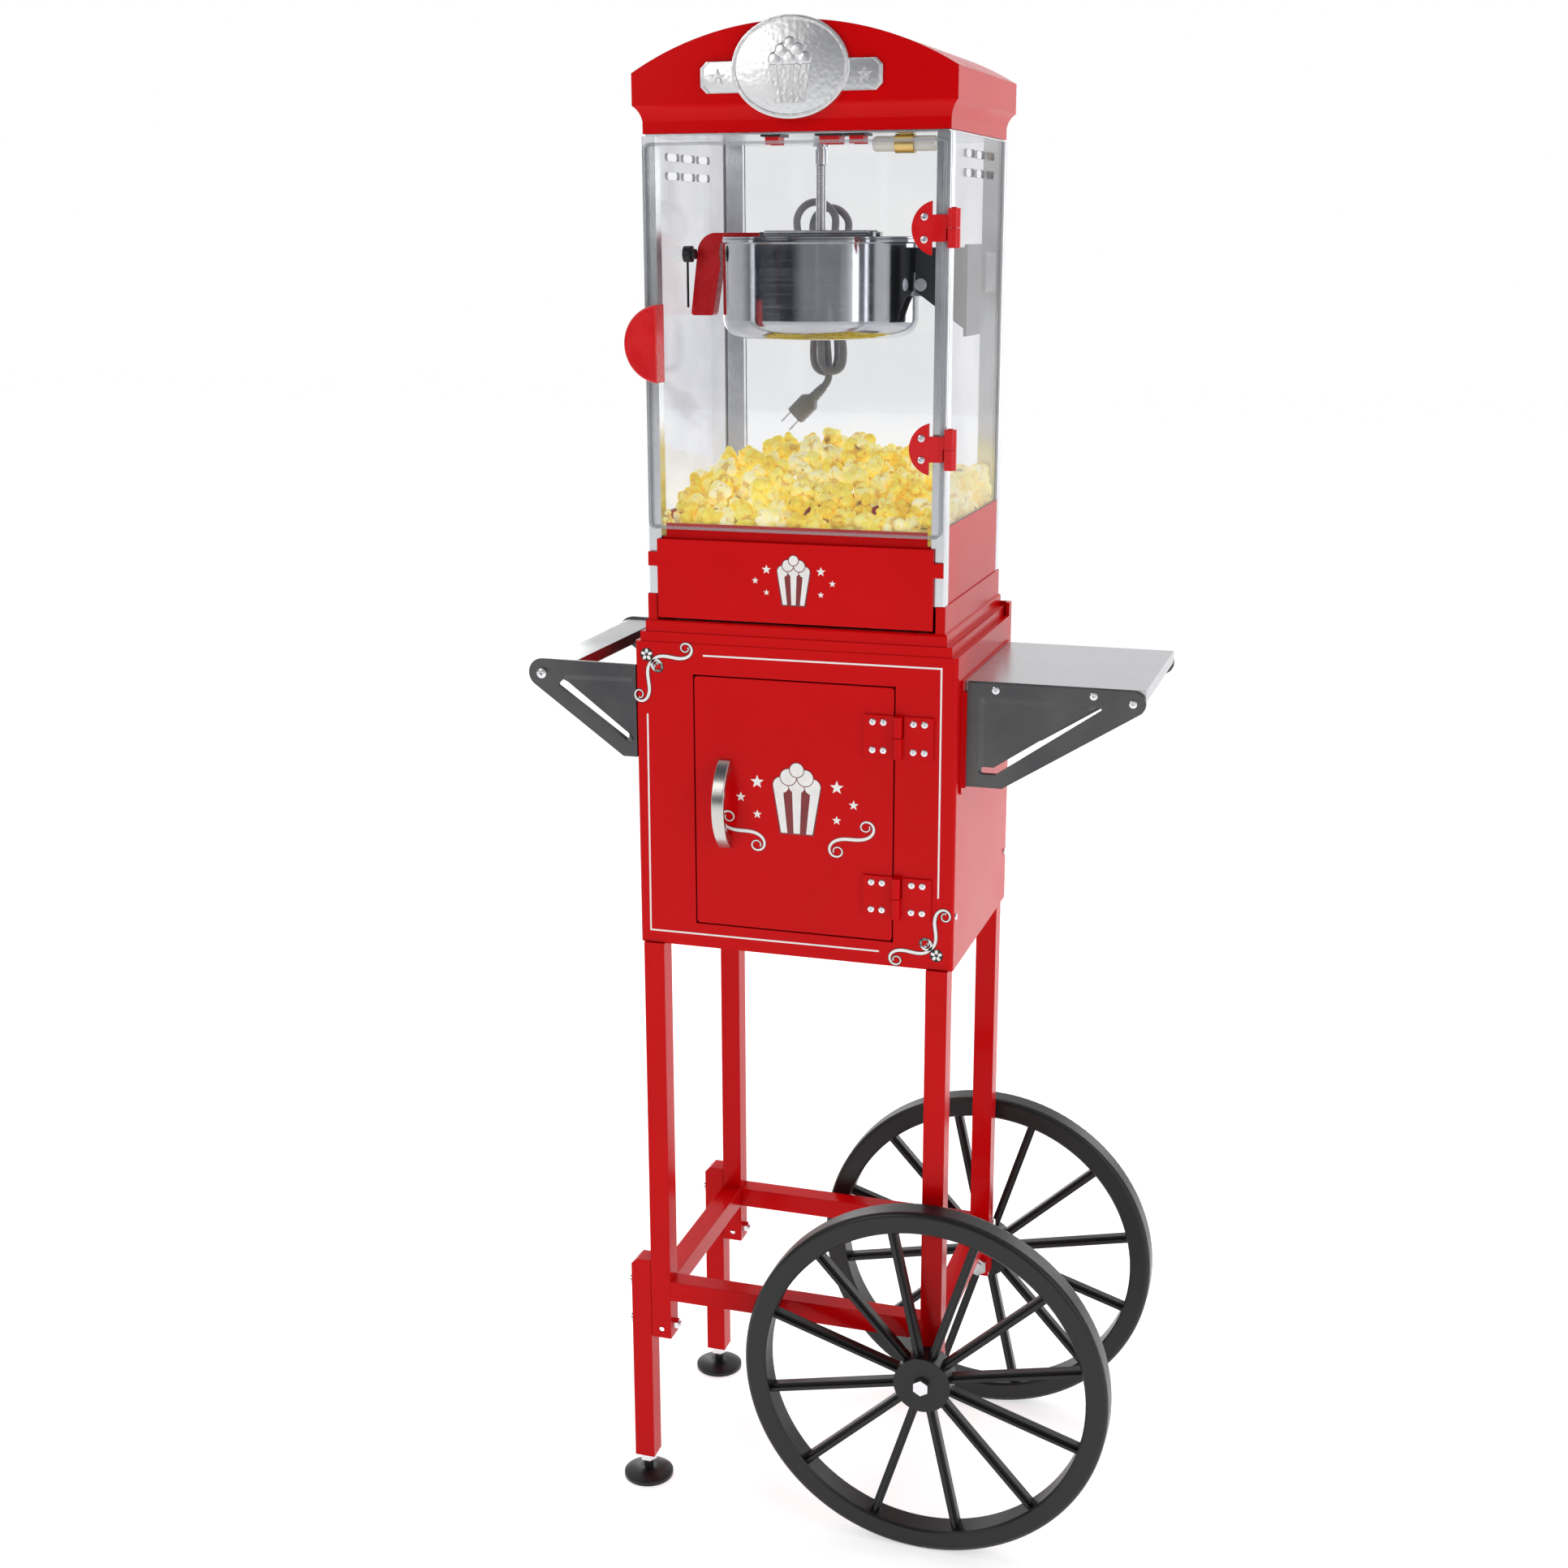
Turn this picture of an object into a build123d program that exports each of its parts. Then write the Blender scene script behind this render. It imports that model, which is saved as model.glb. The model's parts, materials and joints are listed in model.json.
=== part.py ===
"""Popcorn cart: a glazed popping cabinet with a tilting kettle, on a wheeled stand.

Modelled in the cart's own layout: x = 0 is the middle of the cabinet's width, y = 0 is the
cabinet's front face with +y to the rear, and z = 0 is the floor. save() then shifts every piece,
so that the stored origin is on the floor below the middle of the whole cart.
"""
import os
from math import cos, pi, radians, sin, sqrt, tan

from build123d import *

# ---- Driving dimensions, in millimetres ------------------------------------------------------
SHEET = 2.0                                     # folded sheet metal
WINDOW = 3.0                                    # clear side and back panes
RUN = 0.05                                      # radial clearance of a turning fit
SCREW_R = 1.6

CART_MIDDLE = (30.0, 128.0)                     # middle of the cart's box, in layout x and y

CAB_W, CAB_D = 330.0, 256.0                     # cabinet
CAB_Z0, CAB_Z1 = 631.0, 947.0
CAB_BACK_TOP = 961.0
CASE_SCREW_X, CASE_SCREW_Z = 156.0, 686.0
CAB_DOOR_W, CAB_DOOR_Z0, CAB_DOOR_Z1 = 205.0, 657.5, 914.5
CAB_DOOR_GAP = 1.5
CAB_HINGE = (107.7, -5.0)                       # axis in x and y
CAB_HINGE_Z = (866.5, 703.5)

LEG, LEG_WALL = 22.0, 1.5                       # square tube of the stand
LEG_X = (-149.5, 149.5)                         # leg centres
LEG_Y = (8.0, 248.0)
LEG_Z0 = 178.0
STRETCHER_Z = 235.0
FOOT_POST_X = -172.0
FOOT_POST_Z = (29.0, 268.0)
FOOT_BOLT_Z = (238.0, 192.0)
FOOT_R = 27.0
STEM_R = 5.0

WHEEL_R, WHEEL_W, WHEEL_GAP = 192.0, 28.0, 8.0
WHEEL_BORE_R = 6.0
SPOKES, SPOKE_TURN = 12, 17.5                   # count, and the first spoke's angle at rest

HEAD_X = 150.0                                  # half width over the corner posts
HEAD_Y = (4.0, 252.0)                           # front and rear faces of the corner posts
HEAD_MID_Y = 128.0
POST = 14.0
REAR_POST = (22.0, 12.0)
POST_Z = (995.0, 1428.0)
DECK_Z = 1052.0
PANE_Z0 = 1070.0

DOOR_X, DOOR_Z = (-147.0, 146.0), (1060.0, 1422.0)
DOOR_Y = (-1.0, 3.0)
DOOR_HINGE = (154.5, -3.5)                      # axis in x and y
DOOR_HINGE_Z = ((1326.0, 1361.0), (1125.5, 1163.0))
DOOR_HINGE_R = 6.0

PANEL_X, PANEL_Z = 139.5, (972.0, 1050.0)       # front drop panel
PANEL_AXIS = (6.0, 980.0)                       # y and z of its hinge line
PANEL_HINGE_X = (-88.0, 104.0)

ROOF_HALF, ROOF_Y = 156.0, (-2.0, 260.0)
ROOF_LIP_Z, ROOF_COVE_Z, ROOF_BAND_Z, ROOF_SPRING_Z, ROOF_TOP_Z = 1430.0, 1441.0, 1455.0, 1484.0, 1527.0
CEILING_Z = 1428.0

KETTLE = (-9.5, 128.0)                          # kettle centre in x and y
KETTLE_R, KETTLE_Z0, KETTLE_Z1 = 97.0, 1240.0, 1334.0
KETTLE_PIVOT = (96.0, 1291.0)                   # x and z of the tilt axis
PIVOT_R = 4.0
BAR_W = 26.0                                    # fixed bar across the kettle's mouth
FLAP_AXIS = (16.0, 1339.5)                      # distance from the kettle's middle, and height
FLAP_PIN_R = 1.5
SHAFT_R = 5.0
SHAFT_JOINT_Z = 1404.0                          # where the stirring rod meets the drive

SWITCH_X = (-23.5, 32.0, 57.5)
SWITCH_W = (13.0, 19.0, 13.0)
SWITCH_Y, SWITCH_L = 22.0, 22.0
SWITCH_AXIS_Z, SWITCH_PIN_R = 1431.0, 1.5

SHELF_Z, SHELF_T = 921.0, 1.5
SHELF_X = (167.5, 341.0)
SHELF_Y = (27.0, 233.0)
BRACKET_T = 4.0
RECESS = 2.6                                    # depth of the brackets' pressed recess
SHELF_NOSE, SHELF_NOSE_R = (329.5, 908.0), 12.0 # x and z of the shelf bracket's rounded nose
HANDLE_NOSE, HANDLE_NOSE_R = (-266.5, 908.0), 15.0

CORD_R = 4.0
CORD_X = -62.0
GLAND_Z, GLAND_L = 1466.0, 6.0
HANK_X = -55.5
HANK_Y = (284.0, 309.0)
HANK_Z = (1182.0, 1376.0)
HANK_TOP_HALF, HANK_LOW_HALF, HANK_WAIST_HALF = 32.5, 24.0, 17.0
LEAD_END_Y = 305.0                              # where the lead enters the hank
PLUG_START = (HANK_X - 1.0, sum(HANK_Y) / 2, HANK_Z[0] - 4)
PLUG_AIM = (-0.71, 0.0, -0.7042)


# ---- Helpers --------------------------------------------------------------------------------
def save(piece, name):
    """Label a finished piece, put the cart's middle at the origin and write it."""
    placed = piece.part.moved(Location((-CART_MIDDLE[0], -CART_MIDDLE[1], 0)))
    placed.label = name
    export_step(placed, f"parts/{name}.step")


def block(low, high, mode=Mode.ADD):
    """A box between two corners."""
    size = [b - a for a, b in zip(low, high)]
    middle = [(a + b) / 2 for a, b in zip(low, high)]
    with Locations(tuple(middle)):
        Box(*size, mode=mode)


def rod(start, direction, radius, length, mode=Mode.ADD):
    """A round bar that starts at a point and runs along a direction."""
    with Locations(Plane(origin=start, z_dir=direction)):
        Cylinder(radius, length, align=(Align.CENTER, Align.CENTER, Align.MIN), mode=mode)


def hexagon(start, direction, across, length, mode=Mode.ADD):
    """A hexagonal bar, for nuts and bolt heads."""
    with BuildSketch(Plane(origin=start, z_dir=direction)) as outline:
        RegularPolygon(across / sqrt(3), 6)
    extrude(outline.sketch, amount=length, mode=mode)


def screw(start, direction):
    """A pan-head screw whose head stands on a face and whose shank goes in behind it."""
    back = [-c for c in direction]
    rod(start, direction, 3.6, 1.6)
    rod(start, back, SCREW_R, 5.0)


# ---- Cabinet --------------------------------------------------------------------------------
def cabinet_shell():
    half = CAB_W / 2
    opening = CAB_DOOR_W / 2 + CAB_DOOR_GAP
    with BuildPart() as shell:
        block((-half, 0, CAB_Z0), (half, CAB_D - SHEET, CAB_Z1))
        fillet(shell.edges().filter_by(Axis.Z).group_by(Axis.Y)[0], 4)
        block((-half + SHEET, SHEET, CAB_Z0 + SHEET), (half - SHEET, CAB_D, CAB_Z1 - SHEET), Mode.SUBTRACT)
        block((-opening, -1, CAB_DOOR_Z0 - CAB_DOOR_GAP),
              (opening, SHEET + 1, CAB_DOOR_Z1 + CAB_DOOR_GAP), Mode.SUBTRACT)
        for side in (-1, 1):
            edge = sorted((side * (half - SHEET), side * (half - 16)))
            block((edge[0], CAB_D - 2 * SHEET, CAB_Z0 + SHEET), (edge[1], CAB_D - SHEET, CAB_Z1 - SHEET))
        for side, y in side_screw_places():
            rod((side * (half + 1), y, CASE_SCREW_Z), (-side, 0, 0), SCREW_R + RUN, SHEET + 2, Mode.SUBTRACT)
        for x, z in back_screw_places():
            rod((x, CAB_D, z), (0, -1, 0), SCREW_R + RUN, 6, Mode.SUBTRACT)
    save(shell, "cabinet_shell")


def cabinet_back():
    half = CAB_W / 2
    with BuildPart() as back:
        block((-half, CAB_D - SHEET, CAB_Z0), (half, CAB_D, CAB_BACK_TOP))
        for side in (-1, 1):
            edge = sorted((side * half, side * (half - 4)))
            block((edge[0], CAB_D - 12, CAB_Z1), (edge[1], CAB_D - SHEET, CAB_BACK_TOP))
        for x, z in back_screw_places():
            rod((x, CAB_D + 1, z), (0, -1, 0), SCREW_R + RUN, 4, Mode.SUBTRACT)
    save(back, "cabinet_back")


def cabinet_door():
    """A folded pan that lies flush in the cabinet's front."""
    half, depth = CAB_DOOR_W / 2, 14.0
    with BuildPart() as door:
        block((-half, 0, CAB_DOOR_Z0), (half, depth, CAB_DOOR_Z1))
        fillet(door.edges().filter_by(Axis.Y), 3)
        block((-half + SHEET, SHEET, CAB_DOOR_Z0 + SHEET),
              (half - SHEET, depth + 1, CAB_DOOR_Z1 - SHEET), Mode.SUBTRACT)
    save(door, "cabinet_door")


def cabinet_door_pull():
    """A bow handle: two feet joined by a flat arch."""
    x, z0, z1, width, thick, reach = -71.0, 740.0, 831.0, 13.0, 4.0, 26.0
    middle = (z0 + z1) / 2
    with BuildPart() as pull:
        with BuildSketch(Plane.YZ.offset(x - width / 2)):
            with BuildLine():
                Polyline((0, z0), (-3, z0))
                ThreePointArc((-3, z0), (-reach, middle), (-3, z1))
                Polyline((-3, z1), (0, z1), (0, z1 - 12))
                ThreePointArc((0, z1 - 12), (-reach + thick, middle), (0, z0 + 12))
                Line((0, z0 + 12), (0, z0))
            make_face()
        extrude(amount=width)
        fillet(pull.edges().filter_by(GeomType.CIRCLE), 1.2)
    save(pull, "cabinet_door_pull")


def butt_hinge(z, half_height, side):
    """One half of a butt hinge: a leaf on the front face and half of the knuckle."""
    x, y = CAB_HINGE
    knuckle_r, leaf_w = 4.5, 35.0
    outer = x + side * leaf_w
    block((min(x, outer), -SHEET, z - half_height), (max(x, outer), 0, z + half_height))
    web = x + side * knuckle_r
    block((min(x, web), y, z - half_height), (max(x, web), 0, z + half_height))
    rod((x, y, z - half_height), (0, 0, 1), knuckle_r, 2 * half_height)


def cabinet_hinge_halves(side, name):
    """The door-side halves turn on the pins that the frame-side halves carry."""
    x, y = CAB_HINGE
    half_height, split = 21.0, 0.3
    with BuildPart() as leaves:
        for z in CAB_HINGE_Z:
            butt_hinge(z, half_height, side)
            cut = (z - half_height - 1, z + split) if side < 0 else (z - split, z + half_height + 1)
            block((x - 5.2, y - 5, cut[0]), (x + 5.2, 0.5, cut[1]), Mode.SUBTRACT)
            if side < 0:
                rod((x, y, z - 1), (0, 0, 1), 2 + RUN, half_height + 2, Mode.SUBTRACT)
            else:
                rod((x, y, z - half_height), (0, 0, 1), 2, 2 * half_height)
            for dx in (15.0, 26.0):
                for dz in (-14.0, 14.0):
                    rod((x + side * dx, 1, z + dz), (0, -1, 0), 2.2, 5, Mode.SUBTRACT)
    save(leaves, name)


def hinge_screws(side):
    """The screws of one side's leaves on both cabinet hinges."""
    x = CAB_HINGE[0]
    for z in CAB_HINGE_Z:
        for dx, dz in ((15.0, 14.0), (26.0, -14.0), (26.0, 14.0), (15.0, -14.0)):
            rod((x + side * dx, -SHEET, z + dz), (0, -1, 0), 3.4, 1.2)
            rod((x + side * dx, -SHEET, z + dz), (0, 1, 0), 2.1, SHEET)


def cabinet_door_screws():
    with BuildPart() as screws:
        hinge_screws(-1)
    save(screws, "cabinet_door_screws")


def back_screw_places():
    return [(x, z) for x in (-CASE_SCREW_X, CASE_SCREW_X) for z in (CAB_Z0 + 16, CAB_Z1 - 30)]


def side_screw_places():
    return [(side, y) for side in (-1, 1) for y in (9.0, CAB_D - 9.0)]


def case_screws():
    """Fixing screws of the cabinet, its hinges, the shelf's brackets and the push bar."""
    nose_x, nose_z = HANDLE_NOSE
    shelf_front = SHELF_Y[0] - BRACKET_T
    with BuildPart() as screws:
        hinge_screws(1)
        for side, y in side_screw_places():
            screw((side * CAB_W / 2, y, CASE_SCREW_Z), (side, 0, 0))
        for x, z in back_screw_places():
            screw((x, CAB_D, z), (0, 1, 0))
        rod((nose_x, 0.5, nose_z), (0, -1, 0), 5.5, 4)
        rod((nose_x, 251.0 + BRACKET_T, nose_z), (0, 1, 0), 5.5, 4)
        for x, z in ((197.5, 913.5), (292.0, 913.5), SHELF_NOSE):
            rod((x, shelf_front, z), (0, -1, 0), 4.0, 1.6)
            rod((x, SHELF_Y[1] + BRACKET_T, z), (0, 1, 0), 4.0, 1.6)
    save(screws, "case_screws")


# ---- Stand ----------------------------------------------------------------------------------
def square_tube(low, high, along):
    """A hollow square tube between two corners; along is the index of its long axis."""
    block(low, high)
    inner_low = [a if i == along else a + LEG_WALL for i, a in enumerate(low)]
    inner_high = [a if i == along else a - LEG_WALL for i, a in enumerate(high)]
    block(inner_low, inner_high, Mode.SUBTRACT)


def legs():
    h = LEG / 2
    with BuildPart() as tubes:
        for x in LEG_X:
            for y in LEG_Y:
                square_tube((x - h, y - h, LEG_Z0), (x + h, y + h, CAB_Z0), 2)
                for z in FOOT_BOLT_Z[:1 if x > 0 else 2]:
                    rod((x - h - 1, y, z), (1, 0, 0), 3.1, LEG + 2, Mode.SUBTRACT)
        for y in LEG_Y:
            rod((LEG_X[1], y - h - 1, WHEEL_R), (0, 1, 0), WHEEL_BORE_R + RUN, LEG + 2, Mode.SUBTRACT)
            rod((LEG_X[0], y - h - 1, LEG_Z0 + 10), (0, 1, 0), 3.0, LEG_WALL + 2, Mode.SUBTRACT)
    save(tubes, "legs")


def stretchers():
    """Two long and two short rails that join the legs at one height."""
    h, z = LEG / 2, STRETCHER_Z
    with BuildPart() as rails:
        for y in LEG_Y:
            square_tube((LEG_X[0] + h, y - h, z - h), (LEG_X[1] - h, y + h, z + h), 0)
        for x in LEG_X:
            square_tube((x - h, LEG_Y[0] + h, z - h), (x + h, LEG_Y[1] - h, z + h), 1)
    save(rails, "stretchers")


def foot_posts():
    """Outboard tubes with a plugged end that the levelling feet screw into."""
    h, plug = LEG / 2, 14.0
    z0, z1 = FOOT_POST_Z
    with BuildPart() as pair:
        for y in LEG_Y:
            block((FOOT_POST_X - h, y - h, z0), (FOOT_POST_X + h, y + h, z1))
            chamfer(pair.edges().filter_by(Axis.Y).group_by(Axis.Z)[-1].sort_by(Axis.X)[0], 6)
            block((FOOT_POST_X - h + LEG_WALL, y - h + LEG_WALL, z0 + plug),
                  (FOOT_POST_X + h - LEG_WALL, y + h - LEG_WALL, z1 - 8), Mode.SUBTRACT)
            rod((FOOT_POST_X, y, z0 - 1), (0, 0, 1), STEM_R + RUN, plug + 2, Mode.SUBTRACT)
            for z in FOOT_BOLT_Z:
                rod((FOOT_POST_X - h - 1, y, z), (1, 0, 0), 3.1, LEG + 2, Mode.SUBTRACT)
    save(pair, "foot_posts")


def frame_bolts():
    h = LEG / 2
    left_end = FOOT_POST_X - h
    with BuildPart() as bolts:
        for y in LEG_Y:
            for z in FOOT_BOLT_Z:
                rod((left_end - 4, y, z), (1, 0, 0), 6.0, 4)
                rod((left_end, y, z), (1, 0, 0), 3.0, LEG_X[0] + h + 8 - left_end)
            rod((LEG_X[1] + h, y, FOOT_BOLT_Z[0]), (1, 0, 0), 7.0, 4)
            rod((LEG_X[1] - h - 8, y, FOOT_BOLT_Z[0]), (1, 0, 0), 3.0, LEG + 8)
    save(bolts, "frame_bolts")


def frame_nuts():
    h = LEG / 2
    with BuildPart() as nuts:
        for y in LEG_Y:
            hexagon((LEG_X[0] + h, y, FOOT_BOLT_Z[1]), (1, 0, 0), 11.0, 6)
            rod((LEG_X[0] + h - 1, y, FOOT_BOLT_Z[1]), (1, 0, 0), 3.0, 8, Mode.SUBTRACT)
            hexagon((FOOT_POST_X, y, FOOT_POST_Z[0] - 8), (0, 0, 1), 17.0, 8)
            rod((FOOT_POST_X, y, FOOT_POST_Z[0] - 9), (0, 0, 1), STEM_R + RUN, 10, Mode.SUBTRACT)
    save(nuts, "frame_nuts")


def levelling_foot(y, name):
    with BuildPart() as foot:
        with BuildSketch(Plane.XZ):
            with BuildLine():
                Polyline((0, 0), (FOOT_R - 1, 0), (FOOT_R, 1), (FOOT_R, 5))
                ThreePointArc((FOOT_R, 5), (18, 9), (9, 11))
                Polyline((9, 11), (STEM_R, 11), (STEM_R, 52), (0, 52), (0, 0))
            make_face()
        revolve(axis=Axis.Z)
    foot.part = foot.part.moved(Location((FOOT_POST_X, y, 0)))
    save(foot, name)


# ---- Wheels ---------------------------------------------------------------------------------
def wheel(y0, outward, name):
    """A moulded wheel: flat hub, twelve cross-section spokes and a deep plain rim."""
    rim_in, hub_r, half = 169.0, 30.0, WHEEL_W / 2
    round_r = 5.0
    with BuildPart() as disc:
        with BuildSketch(Plane.XY):
            with BuildLine():
                Polyline((rim_in, half - 2), (rim_in, -half + 2), (rim_in + 2, -half),
                         (WHEEL_R - round_r, -half))
                RadiusArc((WHEEL_R - round_r, -half), (WHEEL_R, -half + round_r), -round_r)
                Line((WHEEL_R, -half + round_r), (WHEEL_R, half - round_r))
                RadiusArc((WHEEL_R, half - round_r), (WHEEL_R - round_r, half), -round_r)
                Polyline((WHEEL_R - round_r, half), (rim_in + 2, half), (rim_in, half - 2))
            make_face()
        revolve(axis=Axis.Y)
        rod((0, -half, 0), (0, 1, 0), hub_r, WHEEL_W)
        for n in range(SPOKES):
            with Locations(Location((0, 0, 0), (0, 1, 0), 360.0 / SPOKES * n + SPOKE_TURN)):
                with Locations(((hub_r + rim_in) / 2, 0, 0)):
                    Box(rim_in - hub_r + 6, 9, 9)
                    Box(rim_in - hub_r + 6, 17, 3)
        rod((0, -half - 1, 0), (0, 1, 0), WHEEL_BORE_R + RUN, WHEEL_W + 2, Mode.SUBTRACT)
    disc.part = disc.part.moved(Location((LEG_X[1], y0 + outward * half, WHEEL_R)))
    save(disc, name)


def axle_bolts():
    """A shouldered bolt through each wheel and leg, with washers and a nut behind the leg."""
    x, z, h = LEG_X[1], WHEEL_R, LEG / 2
    with BuildPart() as bolts:
        for y, out in ((LEG_Y[0], -1), (LEG_Y[1], 1)):
            face = y + out * h
            outer = face + out * (WHEEL_GAP + WHEEL_W)
            rod((x, outer + out * 4, z), (0, -out, 0), WHEEL_BORE_R, WHEEL_W + WHEEL_GAP + LEG + 14)
            hexagon((x, outer + out * 0.5, z), (0, out, 0), 15.0, 5.5)
            rod((x, face, z), (0, out, 0), 10.0, WHEEL_GAP - 0.5)
            hexagon((x, face - out * (LEG + 8), z), (0, out, 0), 19.0, 8)
    save(bolts, "axle_bolts")


# ---- Base of the head -----------------------------------------------------------------------
def head_base():
    """Stepped moulding with a floor, an open front and the drop panel's pins on small arms."""
    with BuildPart() as base:
        block((-159, 0.5, CAB_Z1), (159, 253.5, 957))
        block((-153.5, 1.5, 957), (153.5, 253.5, 969))
        fillet(base.edges().filter_by(Plane.XY).group_by(Axis.Z)[2], 2.5)
        block((-HEAD_X - 1, 3, 969), (HEAD_X + 1, 253, POST_Z[0]))
        block((-144, 9, CAB_Z1 + SHEET), (144, 246, POST_Z[0] + 1), Mode.SUBTRACT)
        block((-141.5, 0, 969), (141.5, 10, POST_Z[0] + 1), Mode.SUBTRACT)
        y, z = PANEL_AXIS
        for x in PANEL_HINGE_X:
            rod((x - 16, y, z), (1, 0, 0), 2, 32)
            for side in (-1, 1):
                low, high = sorted((x + side * 10, x + side * 16))
                block((low, y - 2.5, z - 2), (high, 20, z + 2.5))
                block((low, 17, CAB_Z1 + SHEET), (high, 20, z + 2.5))
    save(base, "head_base")


def deck():
    """Perforated popcorn floor with a raised front edge."""
    x_wide, x_narrow = 146.0, 135.0
    y0, y_wide, y1 = 6.0, 19.0, 237.0
    with BuildPart() as plate:
        block((-x_narrow, y0, DECK_Z - SHEET), (x_narrow, y_wide, DECK_Z))
        block((-x_wide, y_wide, DECK_Z - SHEET), (x_wide, y1, DECK_Z))
        block((-131.5, y0, DECK_Z - SHEET), (131.5, y0 + SHEET, DECK_Z + 13))
        with Locations((0, HEAD_MID_Y, DECK_Z - SHEET / 2)):
            with GridLocations(22, 28, 12, 7):
                Cylinder(4.0, SHEET * 2, mode=Mode.SUBTRACT)
    save(plate, "deck")


def crumb_tray():
    with BuildPart() as tray:
        block((-132, 22, CAB_Z1 + SHEET), (132, 236, 985))
        fillet(tray.edges().filter_by(Axis.Z), 6)
        block((-130.5, 23.5, CAB_Z1 + SHEET + 1.5), (130.5, 234.5, 990), Mode.SUBTRACT)
    save(tray, "crumb_tray")


def drop_panel():
    """Folded front panel that tilts down on two pins at its lower edge."""
    y, z = PANEL_AXIS
    with BuildPart() as panel:
        block((-PANEL_X, 0, PANEL_Z[0]), (PANEL_X, SHEET, PANEL_Z[1]))
        block((-134.5, SHEET, PANEL_Z[1] - SHEET), (134.5, 5.5, PANEL_Z[1]))
        for side in (-1, 1):
            edge = sorted((side * 134.5, side * 132.5))
            block((edge[0], SHEET, PANEL_Z[0]), (edge[1], 10, PANEL_Z[1] - 10))
            ear = sorted((side * (PANEL_X - 1), side * 149.0))
            block((ear[0], 0, 1023), (ear[1], SHEET, 1037))
        for x in PANEL_HINGE_X:
            block((x - 9, SHEET, z - 4), (x + 9, y, z + 4))
            rod((x - 9, y, z), (1, 0, 0), 4, 18)
            rod((x - 10, y, z), (1, 0, 0), 2 + RUN, 20, Mode.SUBTRACT)
    save(panel, "drop_panel")


# ---- Head: posts, panes and skirts ----------------------------------------------------------
def posts():
    """Four hollow corner posts, the rear pair wider."""
    wide, deep = REAR_POST
    wall = 2.0
    with BuildPart() as tubes:
        for side in (-1, 1):
            for width, y0, y1 in ((POST, HEAD_Y[0], HEAD_Y[0] + POST), (wide, HEAD_Y[1] - deep, HEAD_Y[1])):
                x = sorted((side * HEAD_X, side * (HEAD_X - width)))
                block((x[0], y0, POST_Z[0]), (x[1], y1, POST_Z[1]))
                outer = tubes.edges().filter_by(Axis.Z).sort_by_distance((side * HEAD_X, y0, POST_Z[0]))[0]
                fillet(outer, 2.5)
                block((x[0] + wall, y0 + wall, POST_Z[0]),
                      (x[1] - wall, y1 - wall, POST_Z[1]), Mode.SUBTRACT)
    save(tubes, "posts")


def side_windows():
    """Clear side panes with two rows of vent slots near the top."""
    y0, y1 = HEAD_Y[0] + POST, HEAD_Y[1] - REAR_POST[1]
    with BuildPart() as panes:
        for side in (-1, 1):
            x = sorted((side * 149.5, side * (149.5 - WINDOW)))
            block((x[0], y0, PANE_Z0), (x[1], y1, CEILING_Z))
        with BuildSketch(Plane.YZ.offset(-HEAD_X - 1)):
            for z in (1394.0, 1411.5):
                with Locations((HEAD_MID_Y, z)):
                    with GridLocations(45, 10, 3, 1):
                        SlotOverall(34, 7.5)
        extrude(amount=2 * HEAD_X + 2, mode=Mode.SUBTRACT)
    save(panes, "side_windows")


def back_window():
    x = HEAD_X - REAR_POST[0]
    with BuildPart() as pane:
        block((-x, HEAD_Y[1] - 3 - WINDOW, PANE_Z0), (x, HEAD_Y[1] - 3, CEILING_Z))
    save(pane, "back_window")


def skirts():
    """Red panels below the side and back panes."""
    y0, y1 = HEAD_Y[0] + POST, HEAD_Y[1] - REAR_POST[1]
    back_x = HEAD_X - REAR_POST[0]
    with BuildPart() as panels:
        for side in (-1, 1):
            x = sorted((side * 149.7, side * 147.7))
            block((x[0], y0, POST_Z[0]), (x[1], y1, PANE_Z0))
        block((-back_x, HEAD_Y[1] - 4 - SHEET, POST_Z[0]), (back_x, HEAD_Y[1] - 4, PANE_Z0))
    save(panels, "skirts")


# ---- Glass door -----------------------------------------------------------------------------
def glass_door():
    with BuildPart() as door:
        block((DOOR_X[0], DOOR_Y[0], DOOR_Z[0]), (DOOR_X[1], DOOR_Y[1], DOOR_Z[1]))
        fillet(door.edges().filter_by(Axis.Y), 7)
    save(door, "glass_door")


def glass_door_handle():
    """Half-moon grip that overhangs the free edge of the door."""
    flat_x, z, chord, depth = -128.0, 1238.0, 73.0, 22.0
    bulge = 33.0
    with BuildPart() as grip:
        with BuildSketch(Plane.XZ.offset(-DOOR_Y[0])):
            with BuildLine():
                Line((flat_x, z - chord / 2), (flat_x, z + chord / 2))
                ThreePointArc((flat_x, z + chord / 2), (flat_x - bulge, z), (flat_x, z - chord / 2))
            make_face()
        extrude(amount=depth)
        fillet(grip.faces().sort_by(Axis.Y)[0].edges(), 2)
    save(grip, "glass_door_handle")


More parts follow.
